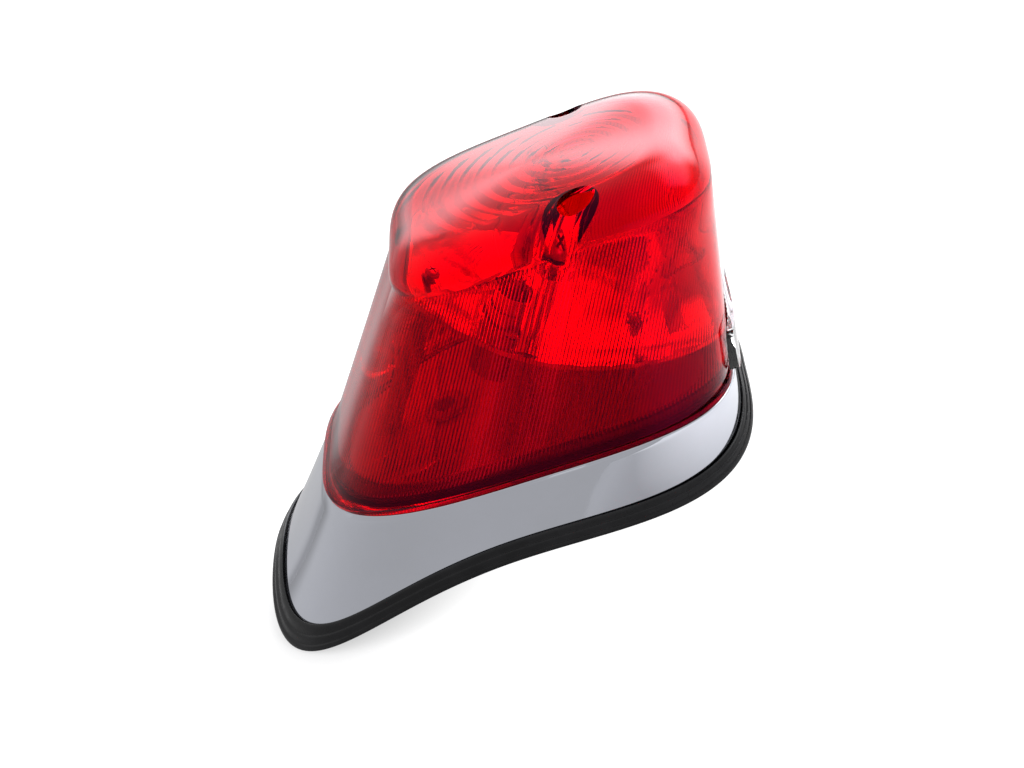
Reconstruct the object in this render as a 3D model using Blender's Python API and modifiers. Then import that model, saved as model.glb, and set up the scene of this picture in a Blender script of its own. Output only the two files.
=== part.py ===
"""Motorcycle rear-fender tail light: red lens, clear licence window, chromed housing, rubber fender gasket,
base pan, reflector, twin-filament bayonet bulb in a sprung socket, and the fixings.

Metres, +Z up. The lamp stands on its gasket at Z = 0. +X points to the end that carries the licence window, and
the lamp is the same on both sides of the XZ plane. The bulb, the screws and the lens's draw all follow the beam
axis, which leans from +Z towards +X.
"""

import math
from collections import namedtuple

import bmesh
import bpy
from mathutils import Matrix, Vector

MM = 0.001
GAP = 0.3 * MM

# Closed outlines: a superellipse whose half-width grows by `taper` towards +X. `left` and `right` are its powers.
Section = namedtuple("Section", "centre half_length half_width taper left right")
GASKET_EDGE = Section(-9.7 * MM, 87.0 * MM, 57.2 * MM, 0.042, 4.26, 3.12)
SKIRT_EDGE = Section(-7.2 * MM, 82.2 * MM, 53.0 * MM, 0.042, 4.26, 3.12)
PARTING = Section(8.7 * MM, 68.9 * MM, 47.5 * MM, 0.015, 3.17, 4.11)
SHOULDER = Section(45.4 * MM, 51.3 * MM, 37.4 * MM, 0.037, 3.77, 3.83)
SEGMENTS = 56

# The fender that the lamp sits on, curved along and across.
FENDER_RADIUS_ALONG = 165 * MM
FENDER_RADIUS_ACROSS = 87.5 * MM
CROWN_X = -9.0 * MM

# Where lens and housing part, and the lens above it. Heights are above the fender's crown.
PARTING_HEIGHT = 1.24 * MM
PARTING_SLOPE = -0.097
SHOULDER_HEIGHT = 62.8 * MM
SHOULDER_SLOPE = -0.073
SHOULDER_SIDE_LIFT = 3.4 * MM
WALL_HEIGHT = 61 * MM
FILLET_INSET = 12.5 * MM
FILLET_RISE = 9.6 * MM
DOME_RISE = 6.3 * MM
LENS_WALL = 3.0 * MM
LENS_FACE = 2.6 * MM
LENS_FLANGE = 0.8 * MM
LENS_FLANGE_HEIGHT = 1.8 * MM
WINDOW_DEPTH = 3.2 * MM

# Gasket and housing
LIP_GAP = 0.5 * MM
CHANNEL_WIDTH = 6.0 * MM
SKIRT_WALL = 2.3 * MM
SKIRT_FOOT_HEIGHT = 1.8 * MM
LEDGE = 6.0 * MM
LEDGE_LIP = 1.5 * MM
FLOOR_RISE = 4.5 * MM
FLOOR_THICKNESS = 2.3 * MM

# Beam axis: the bulb axis passes through BEAM_POINT, given above the crown.
BEAM_TILT = math.radians(41.1)
BEAM_POINT = (27.1 * MM, 39.4 * MM)
BOSS_OFFSET = 2.4 * MM
BOSS_SPREAD = 28.3 * MM
BOSS_RADIUS = 6.8 * MM
BOSS_END = 22.0 * MM
COUNTERBORE_RADIUS = 4.66 * MM
COUNTERBORE_FLOOR = 26.0 * MM
POST_RADIUS = 3.4 * MM

# Reflector: a paraboloid round DISH_CENTRE on the beam frame's X axis, trimmed to fit inside the lens.
DISH_CENTRE = 4.0 * MM
DISH_DEPTH = 14.8 * MM
DISH_CURVE = 0.0075 / MM
HUB_RADIUS = 9.4 * MM
REFLECTOR_WALL = 1.4 * MM
REFLECTOR_CLEARANCE = 1.0 * MM
REFLECTOR_PILLARS = (-28.0 * MM, 38.0 * MM)
PILLAR_RADIUS = 3.5 * MM

# Bulb and socket, as distances along the beam axis from BEAM_POINT.
SOCKET_BACK = -33.0 * MM
SOCKET_MOUTH = -9.0 * MM
SOCKET_FLANGE = -18.2 * MM
PLATE_BACK = -26.0 * MM
PLATE_THICKNESS = 2.0 * MM
PIP_OFFSET = 3.2 * MM
BASE_BACK = -21.6 * MM
BASE_FRONT = -3.6 * MM
BASE_RADIUS = 7.5 * MM
PIN_POSITION = -14.6 * MM
PIN_RADIUS = 1.0 * MM
RIVET_SPREAD = 11.8 * MM
BULB_PRESS = 3.0 * MM
BULB_TWIST = math.radians(20)
GLASS_TIP = 28.4 * MM

# Fixings
STUDS = ((-33.0 * MM, 0.0), (32.0 * MM, 18.0 * MM), (32.0 * MM, -18.0 * MM))
STUD_RADIUS = 3.0 * MM
STUD_LENGTH = 22.0 * MM
WASHER_DROP = 12.0 * MM
GROMMET_X = -16.0 * MM


def fender(x, y):
    """Height of the fender under (x, y), from its crown."""
    return -((x - CROWN_X) ** 2) / (2 * FENDER_RADIUS_ALONG) - y**2 / (2 * FENDER_RADIUS_ACROSS)


def outline(section, inset=0.0, count=SEGMENTS):
    """The outline's (x, y) points, from +X towards +Y."""
    points = []
    for step in range(count):
        angle = 2 * math.pi * step / count
        cosine, sine = math.cos(angle), math.sin(angle)
        power = 2 / (section.right if cosine >= 0 else section.left)
        along = math.copysign(abs(cosine) ** power, cosine)
        across = math.copysign(abs(sine) ** power, sine)
        half_width = (section.half_width - inset) * (1 + section.taper * along)
        points.append((section.centre + (section.half_length - inset) * along, half_width * across))
    return points


# The gasket's lowest points touch Z = 0, which sets how high the crown is.
CROWN_Z = -min(fender(x, y) for x, y in outline(GASKET_EDGE))


def on_fender(height):
    return lambda x, y: CROWN_Z + fender(x, y) + height


def on_parting(height):
    return lambda x, y: CROWN_Z + PARTING_HEIGHT + PARTING_SLOPE * x + height


def on_shoulder(height):
    side = SHOULDER.half_width
    return lambda x, y: (
        CROWN_Z + SHOULDER_HEIGHT + SHOULDER_SLOPE * x + SHOULDER_SIDE_LIFT * (y / side) ** 2 + height
    )


def ring(section, inset, surface):
    return [Vector((x, y, surface(x, y))) for x, y in outline(section, inset)]


def flat_ring(section, inset=0.0):
    return ring(section, inset, lambda x, y: 0)


def mix(first, second, share):
    return [a.lerp(b, share) for a, b in zip(first, second)]


def wall_ring(inset, height):
    """A ring at a height above the parting plane that leans with the lens wall."""
    points = mix(flat_ring(PARTING, inset), flat_ring(SHOULDER, inset), height / WALL_HEIGHT)
    return [Vector((p.x, p.y, on_parting(height)(p.x, p.y))) for p in points]


BEAM = (
    Matrix.Translation((BEAM_POINT[0], 0, CROWN_Z + BEAM_POINT[1]))
    @ Matrix.Rotation(BEAM_TILT, 4, "Y")
)
BASE_PLANE = Matrix.Translation((0, 0, CROWN_Z + PARTING_HEIGHT)) @ Matrix.Rotation(
    -math.atan(PARTING_SLOPE), 4, "Y"
)

for old in list(bpy.data.objects):
    bpy.data.objects.remove(old, do_unlink=True)
PARTS = bpy.data.collections.new("motorcycle_tail_light")
CUTTERS = bpy.data.collections.new("cutters")
for collection in (PARTS, CUTTERS):
    bpy.context.scene.collection.children.link(collection)
CUTTERS.hide_render = True


def material(name, colour, roughness, metallic=0.0, transmission=0.0):
    made = bpy.data.materials.new(name)
    made.use_nodes = True
    shader = made.node_tree.nodes["Principled BSDF"]
    shader.inputs["Base Color"].default_value = (*colour, 1)
    shader.inputs["Roughness"].default_value = roughness
    shader.inputs["Metallic"].default_value = metallic
    shader.inputs["Transmission Weight"].default_value = transmission
    made.diffuse_color = (*colour, 1)
    return made


RED = material("red_acrylic", (0.75, 0.01, 0.02), 0.05, transmission=0.8)
CLEAR = material("clear_acrylic", (0.95, 0.96, 0.97), 0.05, transmission=0.9)
CHROME = material("chrome_plating", (0.8, 0.82, 0.85), 0.06, 1.0)
RUBBER = material("black_rubber", (0.02, 0.02, 0.022), 0.45)
GREY_RUBBER = material("grey_rubber", (0.5, 0.5, 0.49), 0.6)
MIRROR = material("aluminised_plastic", (0.9, 0.9, 0.9), 0.1, 1.0)
GREY = material("grey_abs", (0.55, 0.56, 0.57), 0.45)
ZINC = material("zinc_plated_steel", (0.6, 0.6, 0.58), 0.35, 1.0)
BRASS = material("brass", (0.75, 0.56, 0.25), 0.3, 1.0)
GLASS = material("bulb_glass", (0.97, 0.97, 0.97), 0.02, transmission=1.0)
PHENOLIC = material("brown_phenolic", (0.16, 0.08, 0.04), 0.6)
TUNGSTEN = material("tungsten_wire", (0.3, 0.3, 0.32), 0.4, 1.0)


def place(name, data, surface, matrix=None, cutter=False):
    piece = bpy.data.objects.new(name, data)
    (CUTTERS if cutter else PARTS).objects.link(piece)
    if matrix is not None:
        piece.matrix_world = matrix
    if cutter:
        piece.hide_render = True
        piece.display_type = "WIRE"
    else:
        data.materials.append(surface)
    return piece


def finish_mesh(shape, name):
    """A mesh from the bmesh, with its faces turned out and its round stretches smooth."""
    bmesh.ops.recalc_face_normals(shape, faces=shape.faces)
    made = bpy.data.meshes.new(name)
    shape.to_mesh(made)
    shape.free()
    made.shade_smooth()
    made.set_sharp_from_angle(angle=math.radians(40))
    return made


def loft(name, rings, surface, closed=False, cutter=False):
    """A solid through closed rings of points. Its ends are capped, unless the last ring joins the first."""
    shape = bmesh.new()
    loops = [[shape.verts.new(point) for point in points] for points in rings]
    pairs = list(zip(loops, loops[1:]))
    if closed:
        pairs.append((loops[-1], loops[0]))
    for lower, upper in pairs:
        for step in range(len(lower)):
            after = (step + 1) % len(lower)
            shape.faces.new((lower[step], lower[after], upper[after], upper[step]))
    if not closed:
        for loop in (loops[0], loops[-1]):
            centre = shape.verts.new(sum((vert.co for vert in loop), Vector()) / len(loop))
            for step in range(len(loop)):
                shape.faces.new((loop[step], loop[(step + 1) % len(loop)], centre))
    return place(name, finish_mesh(shape, name), surface, cutter=cutter)


def cylinder(name, radius, back, front, surface=None, frame=BEAM, at=(0, 0), sides=24, cutter=False):
    """A round bar along the frame's Z from back to front, centred on `at`."""
    shape = bmesh.new()
    bmesh.ops.create_cone(
        shape, cap_ends=True, segments=sides, radius1=radius, radius2=radius, depth=front - back
    )
    centre = Matrix.Translation((at[0], at[1], (back + front) / 2))
    return place(name, finish_mesh(shape, name), surface, frame @ centre, cutter)


def box(name, low, high, surface=None, frame=None, cutter=False):
    """A box between two corners in the frame."""
    low, high = Vector(low), Vector(high)
    shape = bmesh.new()
    bmesh.ops.create_cube(shape, size=1)
    bmesh.ops.scale(shape, vec=high - low, verts=shape.verts)
    bmesh.ops.translate(shape, vec=(low + high) / 2, verts=shape.verts)
    return place(name, finish_mesh(shape, name), surface, frame or Matrix(), cutter)


def turned(name, profile, surface, frame=BEAM, at=(0, 0, 0), steps=24, cutter=False):
    """A turned shape. The profile of (radius, height) runs down the outer side, top to bottom."""
    data = bpy.data.meshes.new(name)
    edges = [(step, step + 1) for step in range(len(profile) - 1)]
    if profile[0][0] > 0:
        edges.append((len(profile) - 1, 0))
    data.from_pydata([(radius, 0, height) for radius, height in profile], edges, [])
    piece = place(name, data, surface, frame @ Matrix.Translation(at), cutter)
    screw = piece.modifiers.new("turn", "SCREW")
    screw.steps = screw.render_steps = steps
    screw.use_merge_vertices = True
    screw.merge_threshold = 0.00001
    return piece


def wire(name, points, radius, surface, frame=BEAM):
    curve = bpy.data.curves.new(name, "CURVE")
    curve.dimensions = "3D"
    curve.bevel_depth = radius
    curve.bevel_resolution = 2
    curve.use_fill_caps = True
    spline = curve.splines.new("POLY")
    spline.points.add(len(points) - 1)
    for knot, point in zip(spline.points, points):
        knot.co = (*point, 1)
    return place(name, curve, surface, frame)


def combine(piece, operation, *others):
    for other in others:
        change = piece.modifiers.new(other.name, "BOOLEAN")
        change.operation = operation
        change.object = other
        change.solver = "EXACT"


# ---------------------------------------------------------------- fender gasket
def make_gasket():
    """A moulded ring with three ribs outside. Its lip hugs the skirt, whose foot stands in the channel."""
    outer_face = ((0.0, 0.0), (0.0, 1.0), (0.10, 1.5), (0.22, 1.2), (0.34, 2.0), (0.46, 2.3), (0.58, 2.0))
    lip = ((0.68, 2.5), (0.82, 2.9), (1.0, 2.8))
    rings = []
    edge = flat_ring(GASKET_EDGE)
    hug = flat_ring(SKIRT_EDGE, -LIP_GAP)
    for share, height in outer_face + lip:
        surface = on_fender(height * MM)
        rings.append([Vector((p.x, p.y, surface(p.x, p.y))) for p in mix(edge, hug, share)])
    channel = SKIRT_FOOT_HEIGHT - GAP
    rings.append(ring(SKIRT_EDGE, -LIP_GAP, on_fender(channel)))
    rings.append(ring(SKIRT_EDGE, CHANNEL_WIDTH, on_fender(channel)))
    rings.append(ring(SKIRT_EDGE, CHANNEL_WIDTH, on_fender(0)))
    loft("fender_gasket", rings, RUBBER, closed=True)


# ---------------------------------------------------------------- housing
def make_housing():
    """The chromed ring: its skirt, the ledge that the lens stands on, and the step and lip that hold the pan."""
    step = LEDGE + SKIRT_WALL
    lip_top = FLOOR_RISE - FLOOR_THICKNESS - GAP
    rings = [
        ring(PARTING, step + LEDGE_LIP, on_parting(lip_top - LEDGE_LIP)),
        ring(PARTING, step, on_parting(-SKIRT_WALL)),
        ring(PARTING, SKIRT_WALL, on_parting(-SKIRT_WALL)),
        ring(SKIRT_EDGE, SKIRT_WALL, on_fender(SKIRT_FOOT_HEIGHT)),
        ring(SKIRT_EDGE, 0, on_fender(SKIRT_FOOT_HEIGHT)),
        ring(PARTING, 0, on_parting(0)),
        wall_ring(LEDGE, 0),
        wall_ring(LEDGE, FLOOR_RISE),
        wall_ring(step, FLOOR_RISE),
        wall_ring(step, lip_top),
        ring(PARTING, step + LEDGE_LIP, on_parting(lip_top)),
    ]
    loft("chrome_housing", rings, CHROME, closed=True)


def make_base_pan():
    """The moulded pan inside the ring, with posts for the lens screws and pillars for the reflector."""
    edge = LEDGE + SKIRT_WALL + GAP
    under = FLOOR_RISE - FLOOR_THICKNESS
    pan = loft("base_pan", [wall_ring(edge, under), wall_ring(edge, FLOOR_RISE)], GREY)
    # The posts and pillars follow the beam, and start inside the floor.
    wide = 200 * MM
    below = box("below_floor", (-wide, -wide, -wide), (wide, wide, under + 1 * MM), frame=BASE_PLANE, cutter=True)
    for side in (-1, 1):
        spot = (BOSS_OFFSET, side * BOSS_SPREAD)
        post = cylinder(f"post_{side_name(side)}", POST_RADIUS, -60 * MM, BOSS_END - GAP, at=spot, cutter=True)
        combine(post, "DIFFERENCE", below)
        combine(pan, "UNION", post)
    for number, offset in enumerate(REFLECTOR_PILLARS, 1):
        lowest = min(dish_height(offset - PILLAR_RADIUS), dish_height(offset + PILLAR_RADIUS))
        top = lowest - REFLECTOR_WALL - 2 * GAP
        pillar = cylinder(f"pillar_{number}", PILLAR_RADIUS, -80 * MM, top, at=(offset, 0), sides=16,
                          cutter=True)
        combine(pillar, "DIFFERENCE", below)
        combine(pan, "UNION", pillar)
    for side in (-1, 1):
        label = side_name(side)
        spot = (BOSS_OFFSET, side * BOSS_SPREAD)
        bore = cylinder(f"post_bore_{label}", 2.2 * MM, 2 * MM, 30 * MM, at=spot, sides=16, cutter=True)
        thread = cylinder(f"plate_bore_{label}", 1.8 * MM, 0, 9 * MM, frame=BASE_PLANE,
                          at=(0, side * BOSS_SPREAD), sides=12, cutter=True)
        combine(pan, "DIFFERENCE", bore, thread)
    for number, offset in enumerate(REFLECTOR_PILLARS, 1):
        top = dish_height(offset)
        bore = cylinder(f"pillar_bore_{number}", 1.6 * MM, top - 12 * MM, top, at=(offset, 0), sides=12,
                        cutter=True)
        combine(pan, "DIFFERENCE", bore)
    cable = cylinder("cable_bore", 5.3 * MM, 0, 9 * MM, frame=BASE_PLANE, at=(GROMMET_X, 0), sides=16,
                     cutter=True)
    combine(pan, "DIFFERENCE", cable)


def side_name(side):
    return "left" if side > 0 else "right"


# ---------------------------------------------------------------- lens
def lens_rings(wall, face):
    """Rings from the foot of the lens to near its centre, moved in by `wall` and its face moved down by `face`."""
    foot = ring(PARTING, LENS_FLANGE + wall, on_parting(GAP))
    shoulder = ring(SHOULDER, wall, on_shoulder(-face * 0.5))
    rings = [foot, mix(foot, shoulder, 0.5), shoulder]
    turns = 4
    for step in range(1, turns + 1):
        angle = math.pi / 2 * step / turns
        inset = (FILLET_INSET - wall * 0.5) * (1 - math.cos(angle))
        share = 1 - inset / SHOULDER.half_width
        rise = FILLET_RISE * math.sin(angle) + DOME_RISE * (1 - share**2)
        lower = face * (0.5 + 0.5 * math.sin(angle))
        rings.append(ring(SHOULDER, wall + inset, on_shoulder(rise - lower)))
    edge = flat_ring(SHOULDER, wall * 0.5 + FILLET_INSET)
    edge_share = 1 - FILLET_INSET / SHOULDER.half_width
    centre = Vector((SHOULDER.centre, 0, 0))
    for share in (0.78, 0.54, 0.32, 0.12):
        surface = on_shoulder(FILLET_RISE + DOME_RISE * (1 - (share * edge_share) ** 2) - face)
        inner = [centre.lerp(point, share) for point in edge]
        rings.append([Vector((p.x, p.y, surface(p.x, p.y))) for p in inner])
    return rings


def make_lens():
    outside = lens_rings(0, 0)
    inside = lens_rings(LENS_WALL, LENS_FACE)
    flange = [
        ring(PARTING, 0, on_parting(GAP)),
        ring(PARTING, 0, on_parting(LENS_FLANGE_HEIGHT)),
        ring(PARTING, LENS_FLANGE, on_parting(LENS_FLANGE_HEIGHT)),
    ]
    lens = loft("lens", inside[::-1] + flange + outside[1:], RED)
    trim = loft("lens_boss_trim", lens_rings(LENS_WALL / 2, LENS_FACE / 2), None, cutter=True)
    for side in (-1, 1):
        label = side_name(side)
        spot = (BOSS_OFFSET, side * BOSS_SPREAD)
        tube = cylinder(f"boss_{label}", BOSS_RADIUS, BOSS_END, 60 * MM, at=spot, cutter=True)
        combine(tube, "INTERSECT", trim)
        combine(lens, "UNION", tube)
    for side in (-1, 1):
        label = side_name(side)
        spot = (BOSS_OFFSET, side * BOSS_SPREAD)
        well = cylinder(
            f"counterbore_{label}", COUNTERBORE_RADIUS, COUNTERBORE_FLOOR, 60 * MM, at=spot, cutter=True
        )
        hole = cylinder(f"screw_hole_{label}", 2.3 * MM, 15 * MM, 40 * MM, at=spot, sides=16, cutter=True)
        combine(lens, "DIFFERENCE", well, hole)
    light = box("window_opening", (70 * MM, -24 * MM, 4 * MM), (110 * MM, 24 * MM, 12.5 * MM),
                frame=BASE_PLANE, cutter=True)
    combine(lens, "DIFFERENCE", light)


def make_window():
    """The clear licence window: a raised patch that covers the opening in the lens's end wall."""
    outside = []
    inside = []
    foot_out = ring(PARTING, LENS_FLANGE - WINDOW_DEPTH, on_parting(GAP))
    crest_out = ring(SHOULDER, 0, on_shoulder(0))
    foot_in = ring(PARTING, LENS_FLANGE - GAP, on_parting(GAP))
    crest_in = ring(SHOULDER, -GAP, on_shoulder(0))
    for share in (0.0, 0.5):
        outside.append(mix(foot_out, crest_out, share))
        inside.append(mix(foot_in, crest_in, share))
    shell = loft("licence_window", inside[::-1] + outside, CLEAR, closed=True)
    frame = box("window_outline", (60 * MM, -28 * MM, LENS_FLANGE_HEIGHT + GAP), (120 * MM, 28 * MM, 16 * MM),
                frame=BASE_PLANE, cutter=True)
    combine(shell, "INTERSECT", frame)


def make_seal():
    """The rubber ring between the lens wall and the housing's step."""
    outer, inner = LENS_FLANGE + LENS_WALL + GAP, LEDGE - GAP
    rings = [
        wall_ring(outer, GAP),
        wall_ring(outer + 0.2 * MM, 3 * MM),
        wall_ring(inner, 3 * MM),
        wall_ring(inner, GAP),
    ]
    loft("lens_seal", rings, RUBBER, closed=True)


# ---------------------------------------------------------------- reflector
def dish_height(offset):
    """Height of the dish's front on the beam frame's X axis, at a distance from the bulb."""
    return DISH_CURVE * (offset - DISH_CENTRE) ** 2 - DISH_DEPTH


def make_reflector():
    """A thin dish of revolution with a hole for the bulb, trimmed to a clearance inside the lens."""
    profile = []
    for step in range(9):
        radius = (5 + 63 * step / 8) * MM
        profile.append((radius, DISH_CURVE * radius**2 - DISH_DEPTH))
    back = [(radius, height - REFLECTOR_WALL) for radius, height in profile]
    reflector = turned("reflector", profile + back[::-1], MIRROR, at=(DISH_CENTRE, 0, 0), steps=64)
    rings = lens_rings(LENS_WALL + REFLECTOR_CLEARANCE, LENS_FACE + 2 * REFLECTOR_CLEARANCE)
    inside = loft("lens_inside", rings, None, cutter=True)
    combine(reflector, "INTERSECT", inside)
    hub = cylinder("hub_hole", HUB_RADIUS, -40 * MM, 40 * MM, sides=32, cutter=True)
    combine(reflector, "DIFFERENCE", hub)
    for side in (-1, 1):
        spot = (BOSS_OFFSET, side * BOSS_SPREAD)
        hole = cylinder(f"post_hole_{side_name(side)}", POST_RADIUS + 1 * MM, -40 * MM, 40 * MM, at=spot,
                        cutter=True)
        rivet = cylinder(f"rivet_hole_{side_name(side)}", 1.5 * MM, -30 * MM, 0, sides=12,
                         at=(0, side * RIVET_SPREAD), cutter=True)
        combine(reflector, "DIFFERENCE", hole, rivet)
    for number, offset in enumerate(REFLECTOR_PILLARS, 1):
        hole = cylinder(f"fixing_hole_{number}", 1.7 * MM, -40 * MM, 40 * MM, at=(offset, 0), sides=12,
                        cutter=True)
        combine(reflector, "DIFFERENCE", hole)
    slot = box("licence_light_slot", (47 * MM, -14 * MM, -20 * MM), (52 * MM, 14 * MM, 30 * MM), frame=BEAM,
               cutter=True)
    combine(reflector, "DIFFERENCE", slot)


def make_reflector_screws():
    for number, offset in enumerate(REFLECTOR_PILLARS, 1):
        top = dish_height(offset)
        seat = max(dish_height(offset - 3 * MM), dish_height(offset + 3 * MM)) + 0.5 * MM
        pan = [(0, seat + 1.6 * MM), (1.8 * MM, seat + 1.5 * MM), (2.6 * MM, seat + 0.8 * MM), (2.6 * MM, seat)]
        shank = [(1.3 * MM, seat), (1.3 * MM, top - 10 * MM), (0, top - 11 * MM)]
        turned(f"reflector_screw_{number}", pan + shank, ZINC, at=(offset, 0, 0), steps=12)


# ---------------------------------------------------------------- socket and bulb
def make_socket():
    outer, inner, skin = 8.5 * MM, 7.8 * MM, 1.0 * MM
    flange = 14 * MM
    profile = [
        (outer, SOCKET_MOUTH),
        (outer, SOCKET_FLANGE + skin),
        (flange, SOCKET_FLANGE + skin),
        (flange, SOCKET_FLANGE),
        (outer, SOCKET_FLANGE),
        (outer, SOCKET_BACK),
        (2 * MM, SOCKET_BACK),
        (2 * MM, SOCKET_BACK + skin),
        (inner, SOCKET_BACK + skin),
        (inner, SOCKET_MOUTH),
    ]
    socket = turned("bulb_socket", profile, ZINC, steps=28)
    # Each bayonet slot: a seat wide enough for the press and the twist, and an entry up to the mouth.
    reach = BASE_RADIUS * math.sin(BULB_TWIST) + PIN_RADIUS + 0.5 * MM
    near = PIN_RADIUS + 0.4 * MM
    back = PIN_POSITION - BULB_PRESS - PIN_RADIUS - 0.4 * MM
    for side in (-1, 1):
        rivet = cylinder(f"flange_hole_{side_name(side)}", 1.5 * MM, -30 * MM, 0, at=(0, side * RIVET_SPREAD),
                         sides=12, cutter=True)
        combine(socket, "DIFFERENCE", rivet)
    for side in (-1, 1):
        label = side_name(side)
        ends = sorted((side * near, -side * (reach + 0.5 * MM)))
        ways = sorted((-side * (reach - 2.4 * MM), -side * (reach + 0.3 * MM)))
        depth = sorted((side * 6.5 * MM, side * 9.3 * MM))
        seat = box(f"slot_seat_{label}", (ends[0], depth[0], back),
                   (ends[1], depth[1], PIN_POSITION + PIN_RADIUS + GAP), frame=BEAM, cutter=True)
        entry = box(f"slot_entry_{label}", (ways[0], depth[0], PIN_POSITION), (ways[1], depth[1], 0),
                    frame=BEAM, cutter=True)
        combine(socket, "DIFFERENCE", seat, entry)


def make_rivets():
    spread = math.hypot(DISH_CENTRE + 2 * MM, RIVET_SPREAD + 2 * MM)
    top = DISH_CURVE * spread**2 - DISH_DEPTH + GAP
    back = SOCKET_FLANGE - GAP
    for side in (-1, 1):
        profile = [
            (0, top + 1.0 * MM), (1.6 * MM, top + 0.7 * MM), (2.0 * MM, top), (1.2 * MM, top),
            (1.2 * MM, back), (2.0 * MM, back), (1.6 * MM, back - 0.7 * MM), (0, back - 0.9 * MM),
        ]
        turned(f"socket_rivet_{side_name(side)}", profile, ZINC, at=(0, side * RIVET_SPREAD, 0), steps=12)


def make_contacts():
    front = PLATE_BACK + PLATE_THICKNESS
    cylinder("contact_plate", 7.4 * MM, PLATE_BACK, front, PHENOLIC)
    start = SOCKET_BACK + 1.0 * MM + GAP
    wire_radius = 0.4 * MM
    low, high = start + wire_radius, PLATE_BACK - GAP - wire_radius
    turns, per_turn = 3, 10
    points = []
    for step in range(turns * per_turn + 1):
        share = step / (turns * per_turn)
        angle = 2 * math.pi * turns * share
        radius = 6.2 * MM - 1.6 * MM * share
        points.append((radius * math.cos(angle), radius * math.sin(angle), low + (high - low) * share))
    wire("contact_spring", points, wire_radius, ZINC)
    for side, name in ((1, "tail"), (-1, "brake")):
        pip = [(0, front + 1.1 * MM), (1.0 * MM, front + 1.0 * MM), (1.7 * MM, front + GAP), (0, front + GAP)]
        turned(f"contact_{name}", pip, BRASS, at=(0, side * PIP_OFFSET, 0), steps=12)


def make_bulb():
    skin = 0.6 * MM
    cup = [
        (BASE_RADIUS, BASE_FRONT), (BASE_RADIUS, BASE_BACK + 0.6 * MM), (BASE_RADIUS - 0.6 * MM, BASE_BACK),
        (0, BASE_BACK), (0, BASE_BACK + 2 * MM), (BASE_RADIUS - skin, BASE_BACK + 2 * MM),
        (BASE_RADIUS - skin, BASE_FRONT),
    ]
    base = turned_closed("bulb_base", cup, BRASS)
    for side in (-1, 1):
        frame = BEAM @ Matrix.Translation((0, 0, PIN_POSITION)) @ Matrix.Rotation(-side * math.pi / 2, 4, "X")
        pin = cylinder(f"pin_{side_name(side)}", PIN_RADIUS, BASE_RADIUS - 0.4 * MM, 9.0 * MM, frame=frame,
                       sides=12, cutter=True)
        combine(base, "UNION", pin)
    for side, name in ((1, "tail"), (-1, "brake")):
        pip = [(0, BASE_BACK - GAP), (1.4 * MM, BASE_BACK - GAP), (1.0 * MM, BASE_BACK - 0.8 * MM),
               (0, BASE_BACK - 0.95 * MM)]
        turned(f"bulb_contact_{name}", pip, ZINC, at=(0, side * PIP_OFFSET, 0), steps=12)
    make_glass()
    stem_top = 1.0 * MM
    stem = [(0, stem_top), (1.6 * MM, stem_top - 1 * MM), (2.2 * MM, -6 * MM), (4.4 * MM, -15 * MM), (0, -15 * MM)]
    turned("bulb_stem", stem, GLASS, steps=16)
    for name, height, offset in (("tail", 8 * MM, 1.5 * MM), ("brake", 13 * MM, -1.5 * MM)):
        make_filament(name, stem_top + GAP, height, offset)


def turned_closed(name, profile, surface):
    """A turned shape whose profile starts off the axis and touches it on the way round."""
    data = bpy.data.meshes.new(name)
    touch = [step for step, (radius, _) in enumerate(profile) if radius == 0]
    edges = [(step, step + 1) for step in range(len(profile) - 1) if step != touch[0]]
    edges.append((len(profile) - 1, 0))
    data.from_pydata([(radius, 0, height) for radius, height in profile], edges, [])
    piece = place(name, data, surface, BEAM)
    screw = piece.modifiers.new("turn", "SCREW")
    screw.steps = screw.render_steps = 24
    screw.use_merge_vertices = True
    screw.merge_threshold = 0.00001
    return piece


def make_glass():
    """A blown envelope, open at the neck."""
    radius, neck, skin = 12.7 * MM, 6.5 * MM, 0.8 * MM
    centre = GLASS_TIP - radius
    outside = []
    for step in range(8):
        angle = math.pi / 2 * (1 - step / 7)
        outside.append((radius * math.cos(angle), centre + radius * math.sin(angle)))
    for step in range(1, 6):
        share = step / 5
        ease = share * share * (3 - 2 * share)
        outside.append((radius + (neck - radius) * ease, centre + (-2 * MM - centre) * share))
    outside.append((neck, -10 * MM))
    inside = [(max(r - skin, 0), h if r > 0 else h - skin) for r, h in outside]
    inside[0] = (0, GLASS_TIP - skin)
    data = bpy.data.meshes.new("bulb_glass")
    profile = outside + inside[::-1]
    edges = [(step, step + 1) for step in range(len(profile) - 1)]
    data.from_pydata([(r if r > 1e-6 else 0, 0, h) for r, h in profile], edges, [])
    piece = place("bulb_glass", data, GLASS, BEAM)
    screw = piece.modifiers.new("turn", "SCREW")
    screw.steps = screw.render_steps = 24
    screw.use_merge_vertices = True
    screw.merge_threshold = 0.00001


def make_filament(name, foot, height, offset):
    """Two support wires and the filament across them."""
    half = 3.2 * MM
    top, bend = foot + height, 1 * MM
    corners = [
        (offset, -half, foot), (offset, -half, top - bend), (offset, -half + bend, top),
        (offset, half - bend, top), (offset, half, top - bend), (offset, half, foot),
    ]
    wire(f"bulb_filament_{name}", corners, 0.3 * MM, TUNGSTEN)


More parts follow.
